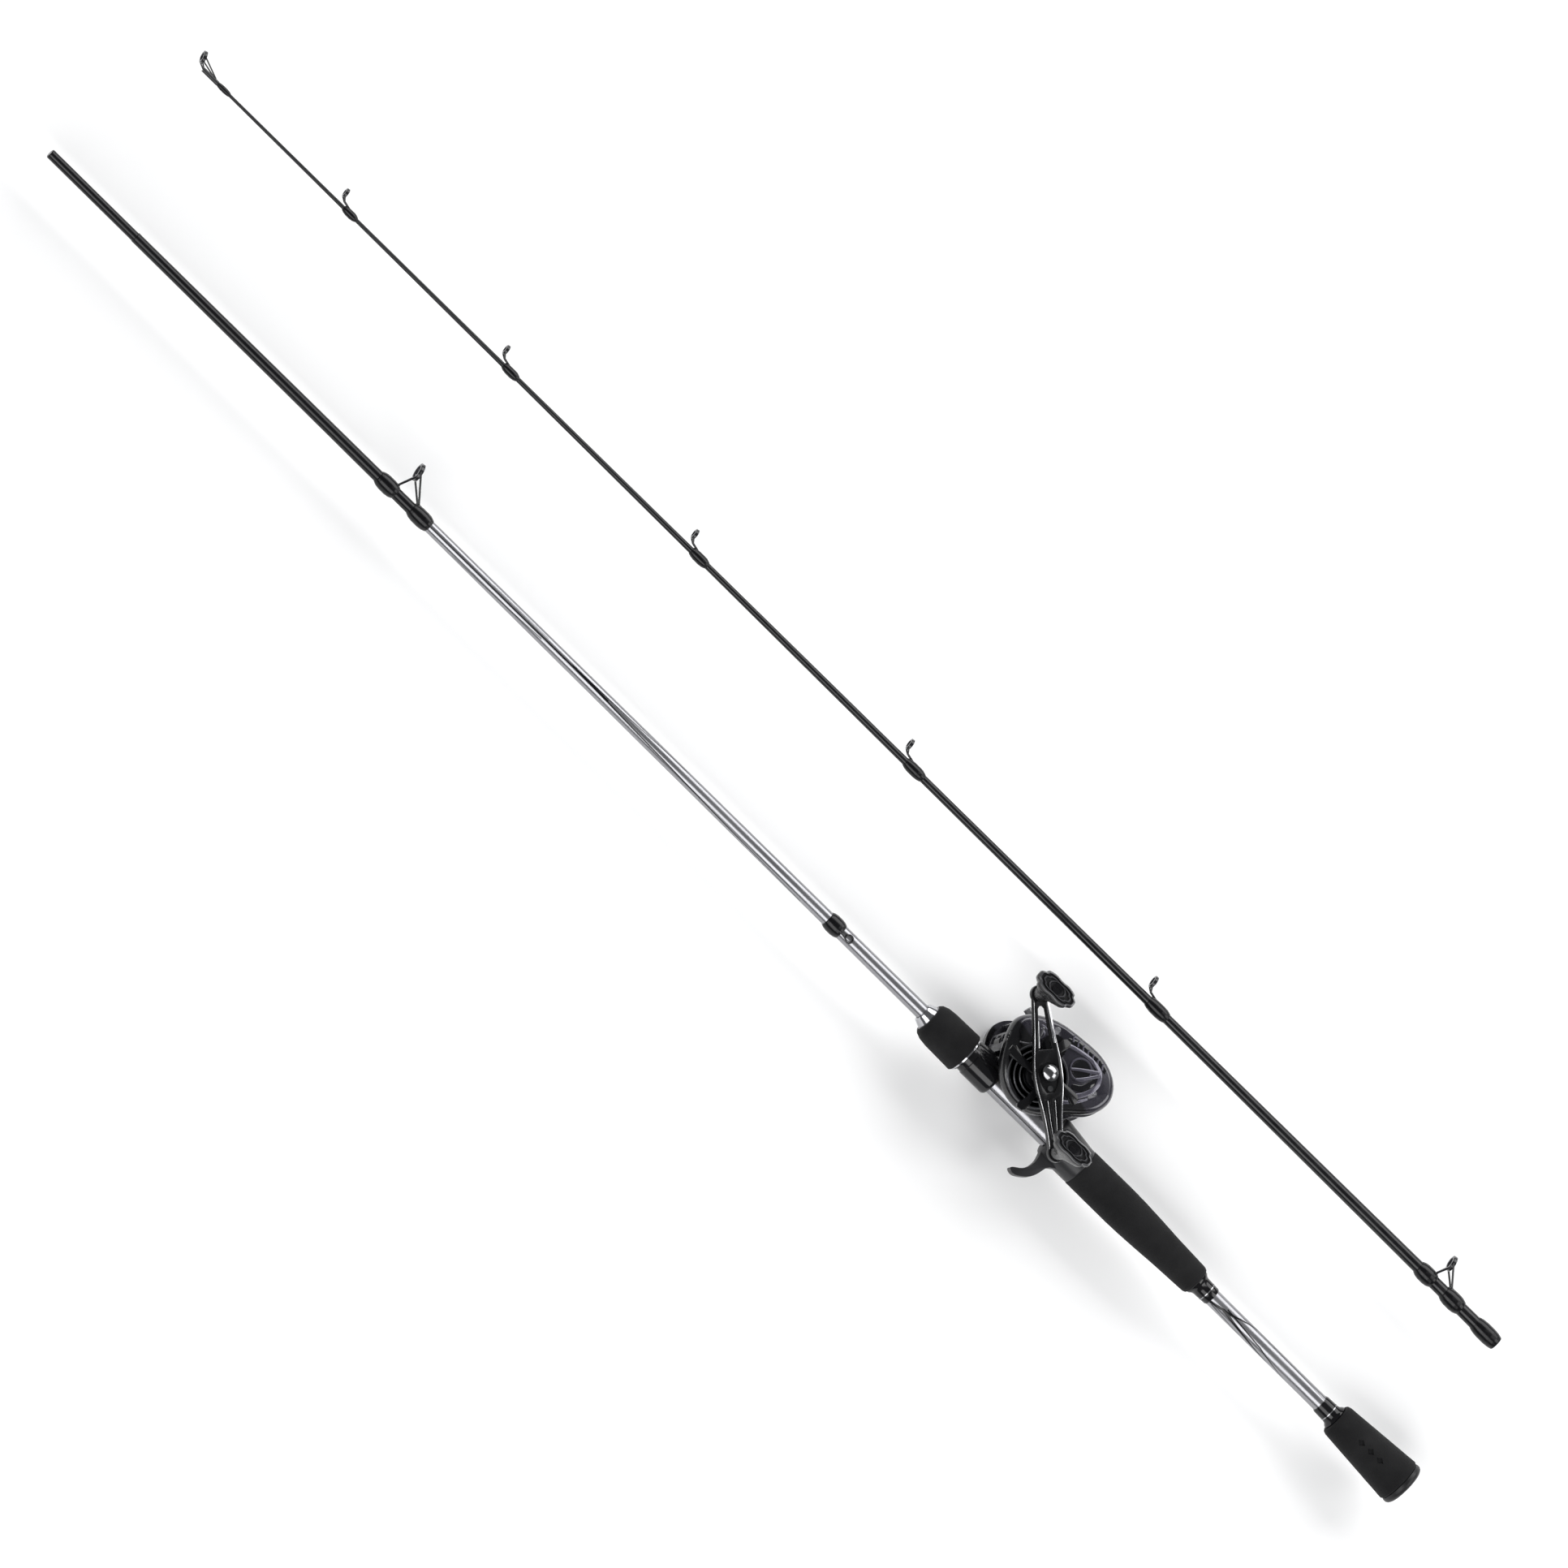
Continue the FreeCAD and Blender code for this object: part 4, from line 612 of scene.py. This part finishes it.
def rim(centre, outer, inner, low, high, bevel=0.25, steps=96):
    """Ring about a line along Z."""
    bm = bmesh.new()
    section = [(inner, low), (outer, low), (outer, high - bevel), (outer - bevel, high),
               (inner + bevel, high), (inner, high - bevel)]
    corners = [bm.verts.new(at(centre[0] - radius, centre[1], z)) for radius, z in section]
    edges = [bm.edges.new((a, b)) for a, b in zip(corners, corners[1:] + corners[:1])]
    bmesh.ops.spin(bm, geom=corners + edges, cent=at(*centre), axis=Vector((0, 0, 1)), angle=2 * math.pi,
                   steps=steps, use_merge=True)
    bmesh.ops.remove_doubles(bm, verts=bm.verts, dist=1e-7)
    return bm


def arc(centre, radius, first, last, count=10):
    """Points on an arc; angles in degrees, 0 towards the butt end and 90 away from the blank."""
    return [(centre[0] - radius * math.cos(math.radians(first + (last - first) * i / count)),
             centre[1] + radius * math.sin(math.radians(first + (last - first) * i / count)))
            for i in range(count + 1)]


def merged(meshes):
    """One bmesh from several."""
    whole = bmesh.new()
    for part in meshes:
        holder = bpy.data.meshes.new("holder")
        part.to_mesh(holder)
        part.free()
        whole.from_mesh(holder)
        bpy.data.meshes.remove(holder)
    return whole


# The cover's flat face stands this far out from the rod's axis, in mm; the trim is placed from it.
FACE = 23.7
# Louvre panel: a gloss black recess along the top of the cover with seven slanted bars.
louvre_edge = rounded([(331.5, 40.4), (323, 42.8), (315, 43.6), (307, 43.6), (300.6, 42.8)], 4)
louvre_top = rounded([(301.6, 46.0), (309, 48.0), (317, 48.2), (325, 46.6), (331.0, 43.6)], 4)
piece(plate(louvre_edge + louvre_top, FACE - 2.4, FACE + 0.75, 0.25), "louvre_panel", inlay_black,
      "butt_section")
bars = [band([(303.5 + 4.0 * i, 43.4), (305.0 + 4.0 * i, 45.4), (305.2 + 4.0 * i, 47.0)], 1.1, FACE - 2.0,
             FACE + 1.15, 0.3) for i in range(7)]
piece(merged(bars), "louvre_bars", relief_paint, "butt_section")
# Band: a raised violet arch round the front of the window.
piece(band([(333.0, 36.6), (330.0, 39.4), (321.8, 42.0), (311.7, 43.2), (303.4, 41.0), (299.8, 34.0),
            (302.2, 25.6), (306.2, 19.8)], (2.0, 3.2), FACE - 0.5, FACE + 1.5, 0.6), "cover_arch",
      relief_paint, "butt_section")
# Window: a knurled dial behind a round rim, crossed by two straps.
window = (313.4, 34.6)
piece(rim(window, 7.3, 6.0, FACE - 0.5, FACE + 1.4, 0.4), "window_rim", relief_paint, "butt_section")
dial = rim(window, 5.9, 0.3, FACE - 0.5, FACE + 0.6, 0.2, 60)
teeth = [band([(window[0] - 5.0 * math.cos(a), window[1] + 5.0 * math.sin(a)),
               (window[0] - 5.7 * math.cos(a), window[1] + 5.7 * math.sin(a))], 0.35, FACE, FACE + 0.95,
              0.1, steps=1) for a in [math.radians(110 + 10 * i) for i in range(18)]]
piece(merged([dial] + teeth), "window_dial", inlay_black, "butt_section")
straps = [band([(303.4, 41.0), (309.0, 37.4), (314.0, 34.0), (318.6, 30.4)], (2.6, 1.6),
               FACE - 0.4, FACE + 1.9, 0.5),
          band([(302.6, 39.8), (305.6, 35.6), (309.0, 31.4), (312.6, 27.6)], (2.2, 1.4),
               FACE - 0.4, FACE + 1.75, 0.5)]
piece(merged(straps), "window_straps", relief_paint, "butt_section")
# Rear edge: a gloss black crescent behind the arch and a violet strake below it.
piece(plate(rounded([(303.2, 38.2), (301.2, 32.8), (303.4, 26.0), (309.4, 22.6), (311.6, 24.8),
                     (307.2, 28.0), (305.2, 32.6), (303.2, 38.2)], 4)[:-1], FACE - 0.5, FACE + 0.9, 0.3),
      "rear_crescent", inlay_black, "butt_section")
piece(band([(299.0, 24.6), (303.8, 17.6), (311.0, 11.0)], (1.2, 2.6), FACE - 1.2, FACE + 0.9, 0.4),
      "rear_strake", relief_paint, "butt_section")
# Drive rims: stepped rings round the crank's axis, under the star.
drive = (330.0, 13.5)
rims = [rim(drive, 19.4, 18.0, 20.5, 24.4, 0.5), rim(drive, 15.6, 14.6, FACE - 0.5, FACE + 1.3, 0.3),
        rim(drive, 12.2, 11.4, FACE - 0.5, FACE + 1.9, 0.3)]
piece(merged(rims), "drive_rims", rim_grey, "butt_section")
piece(rim(drive, 17.9, 9.2, FACE - 0.6, FACE + 0.5, 0.2), "drive_floor", inlay_black, "butt_section")
# Nose: concentric ribs and a black triangle ahead of the drive rims.
nose = (346.0, 33.0)
ribs = [band(arc(nose, radius, -70, 120), 1.0, FACE - 3.2, FACE + 0.55, 0.3, steps=3)
        for radius in (3.0, 5.2, 7.4)]
piece(merged(ribs), "nose_ribs", relief_paint, "butt_section")
piece(plate([(355.0, 25.4), (347.8, 29.0), (348.6, 23.6)], FACE - 3.2, FACE + 0.4, 0.3), "nose_window",
      inlay_black, "butt_section")
piece(band([(346.6, 37.6), (344.4, 31.0), (346.4, 24.4), (352.0, 20.6)], (1.6, 1.0), FACE - 3.0, FACE + 0.7,
           0.3), "nose_light_band", rim_grey, "butt_section")

# ---- Crank arm and star: a black anodised aluminium arm with bright cut bevels along both edges,
# held by a polished nut, over the black star that sets the drag.
arm_black = finish("arm_black", (0.006, 0.006, 0.0065), 0.24, metal=0.4, coat=0.2, tint=(0.013, 0.013, 0.014),
                   tint_scale=120.0, grain=0.08)
bright_cut = finish("bright_cut", (0.50, 0.50, 0.52), 0.16, metal=1.0, tint=(0.85, 0.85, 0.86),
                    tint_scale=200.0, rough_spread=0.05, grain=0.05, stretch=(1, 0.2, 1))
arm_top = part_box("handle_arm")[1].z
piece(rounded_copy("handle_arm", 0.3, lambda middle: middle.z > arm_top - 0.0004), "handle_arm_body",
      arm_black, "crank", ["handle_arm"])

crank_angle = math.radians(42.0)


def crank_at(reach, side):
    """Distance and y of a point on the arm: reach towards the upper knob, side towards the butt."""
    along, across = math.cos(crank_angle), math.sin(crank_angle)
    return (drive[0] + reach * along - side * across, drive[1] + reach * across + side * along)


ARM_TOP = arm_top / MM
butt_side_flat = [(17.5, 6.3), (28.0, 5.5), (38.0, 4.8), (41.5, 4.4), (41.5, 3.3), (38.0, 2.9), (28.0, 3.9),
                  (17.5, 4.9)]
tip_side_flat = [(15.0, -3.9), (24.0, -3.4), (31.0, -2.8), (31.0, -3.4), (24.0, -4.3), (15.0, -5.0)]
facets = [plate([crank_at(*p) for p in butt_side_flat], ARM_TOP - 0.1, ARM_TOP + 0.22, 0.12),
          plate([crank_at(*p) for p in tip_side_flat], ARM_TOP - 0.1, ARM_TOP + 0.2, 0.1)]
edge_line = [(-44.0, 4.55), (-40.0, 4.6), (-30.0, 5.1), (-20.0, 6.3), (-12.0, 7.7), (-5.0, 8.5), (2.0, 8.6),
             (9.0, 8.1), (18.0, 6.9), (28.0, 5.9), (38.0, 5.1), (43.0, 4.6)]
for sign, wide in ((1.0, 0.75), (-1.0, 0.45)):
    facets.append(band([crank_at(reach, sign * (side - 0.25)) for reach, side in edge_line], wide,
                       ARM_TOP - 0.5, ARM_TOP + 0.12, 0.12, steps=4))
for sign in (1.0, -1.0):
    facets.append(band([crank_at(-16.0, sign * 2.3), crank_at(-27.0, sign * 1.9),
                        crank_at(-37.0, sign * 1.3)], 0.35, ARM_TOP - 0.9, ARM_TOP - 0.2, 0.1))
piece(merged(facets), "arm_bright_facets", bright_cut, "crank")
nut_steel = finish("nut_steel", (0.22, 0.22, 0.225), 0.16, metal=1.0, coat=0.3, tint=(0.32, 0.32, 0.325),
                   tint_scale=160.0, grain=0.04)
dress("handle_nut", nut_steel)
dress("nut_retainer", nut_steel)
star_underside = 0.0300
piece(rounded_copy("star_drag", 0.5, lambda middle: middle.z > star_underside), "star_drag_body",
      hood_finish, "star", ["star_drag"])
dress("tension_cap", gloss_black)


# ---- Crank knobs: soft rubber paddles moulded on a round neck, with wavy raised ribs on the face.
# Each turns on a post riveted to the arm, and a black cap closes its end.
def knob(node, body):
    """One paddle, grown ring by ring: height, half length, half width, and how wavy the outline is."""
    low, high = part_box(node)
    middle = (low + high) / 2
    bm = bmesh.new()
    count = 72
    start = bmesh.ops.create_circle(bm, segments=count, radius=4.4 * MM,
                                    matrix=Matrix.Translation(Vector((middle.x, middle.y, low.z))))["verts"]
    angles = [math.atan2(v.co.y - middle.y, v.co.x - middle.x) for v in start]
    bm.faces.new(start)
    top = high.z / MM
    rings = [(low.z / MM + 3.0, 4.5, 4.5, 0.0), (52.0, 5.2, 4.7, 0.1), (56.0, 8.0, 5.3, 0.4),
             (60.0, 11.2, 5.9, 0.7), (63.0, 12.8, 6.3, 1.0), (66.4, 13.5, 6.5, 1.0), (68.2, 13.4, 6.4, 1.0),
             (top - 0.35, 13.0, 6.0, 1.0), (top, 12.3, 5.4, 1.0), (top, 11.8, 5.0, 1.0),
             (top - 1.1, 11.2, 4.6, 1.0), (top - 1.1, 10.4, 4.1, 1.0), (top, 9.9, 3.8, 1.0),
             (top, 9.1, 3.4, 1.0), (top - 1.1, 8.6, 3.1, 1.0), (top - 1.1, 6.6, 3.1, 0.6),
             (top - 0.1, 6.0, 3.3, 0.5), (top - 0.1, 5.2, 3.2, 0.4), (top - 0.8, 4.6, 3.0, 0.2),
             (top - 0.8, 3.2, 3.0, 0.0), (top - 0.3, 3.0, 2.9, 0.0), (top - 0.3, 0.6, 0.6, 0.0)]
    loop = list(start)
    for height, half_length, half_width, hexagon in rings:
        edges = [bm.edges.get((a, b)) for a, b in zip(loop, loop[1:] + loop[:1])]
        grown = bmesh.ops.extrude_edge_only(bm, edges=edges)["geom"]
        fresh = [g for g in grown if isinstance(g, bmesh.types.BMVert)]
        order = {}
        for vert in fresh:
            nearest = min(range(count), key=lambda i: (loop[i].co - vert.co).length_squared)
            order[nearest] = vert
        loop = [order[i] for i in range(count)]
        for vert, angle in zip(loop, angles):
            wave = 1.0 + hexagon * 0.055 * math.cos(6 * angle) - hexagon * 0.02 * math.cos(12 * angle)
            power = 2.0 / (2.0 + 0.5 * hexagon)
            x = math.copysign(abs(math.cos(angle)) ** power, math.cos(angle)) * half_length * wave
            y = math.copysign(abs(math.sin(angle)) ** power, math.sin(angle)) * half_width * wave
            vert.co = Vector((middle.x + x * MM, middle.y + y * MM, height * MM))
    bm.faces.new(loop)
    # The ribs' upward tops take the second, lighter material as a painted highlight; the ribs are as black as
    # the paddle.
    for face in bm.faces:
        spot = face.calc_center_median()
        reach = math.hypot(spot.x - middle.x, (spot.y - middle.y) * 2.0)
        if spot.z > (top - 0.3) * MM and reach > 0.0035:
            face.material_index = 1
    piece(bm, body + "_paddle", [knob_finish, rib_top_highlight_finish], body, [node])


knob_finish = finish("knob_rubber", (0.009, 0.009, 0.0095), 0.26, coat=0.1, tint=(0.018, 0.018, 0.019),
                     tint_scale=90.0, grain=0.25, grain_scale=1200.0)
# Lighter grey on the ribs' tops is painted highlight.
rib_top_highlight_finish = finish("knob_rib_tops_painted_highlight", (0.035, 0.035, 0.038), 0.22, coat=0.4, tint=(0.06, 0.06, 0.064),
                    tint_scale=90.0, grain=0.1)
knob("knob_a", "upper_knob")
knob("knob_b", "lower_knob")
dress("knob_cap_a", gloss_black)
dress("knob_cap_b", gloss_black)

# ---- Moving works: anodised spool, ground steel shafts, cut brass gears, fibre washers. The last wheel
# of the level wind shows at a chink in the cover; its gloss black is painted shade for that chink.
spool_finish = finish("spool_anodised", (0.30, 0.30, 0.33), 0.24, metal=1.0, tint=(0.38, 0.38, 0.41),
                      tint_scale=40.0, stretch=(1, 1, 0.1), grain=0.1)
steel = finish("ground_steel", (0.50, 0.50, 0.52), 0.25, metal=1.0, tint=(0.62, 0.62, 0.64),
               tint_scale=150.0, grain=0.1)
brass = finish("cut_brass", (0.62, 0.45, 0.18), 0.28, metal=1.0, tint=(0.75, 0.58, 0.28), tint_scale=130.0,
               grain=0.1)
fibre = finish("washer_fibre", (0.12, 0.09, 0.06), 0.8, tint=(0.2, 0.16, 0.11), tint_scale=300.0, grain=0.4)
dress("spool", spool_finish)
for node in ("spool_shaft", "bearings", "worm_shaft", "drive_shaft", "guide_rod", "reel_screws",
             "clutch_springs", "knob_posts", "brake_magnets"):
    dress(node, steel)
# The worm gear's gloss black is painted shade for the chink it shows through.
dress("worm_gear", gloss_black)
for node in ("main_gear", "pinion_gear", "wind_drive_gear"):
    dress(node, brass)
dress("drag_washers", fibre)
for node in ("wind_idler", "clutch_yoke", "brake_rotor", "brake_dial", "line_guide"):
    dress(node, gloss_black)
dress("line_guide_insert", ceramic)
dress("thumb_bar", finish("thumb_bar_grey", (0.05, 0.05, 0.055), 0.4, coat=0.3, tint=(0.08, 0.08, 0.085),
                          tint_scale=120.0))

# ---- Bounds of every visible mesh but the floor, from its vertices, in metres; the frame's own bounds were taken right after the import.
visual_low = Vector((9, 9, 9))
visual_high = Vector((-9, -9, -9))
for thing in scene.objects:
    if thing.type == "MESH" and thing != floor and not thing.hide_render:
        for corner in thing.data.vertices:
            visual_low = Vector(map(min, visual_low, corner.co))
            visual_high = Vector(map(max, visual_high, corner.co))
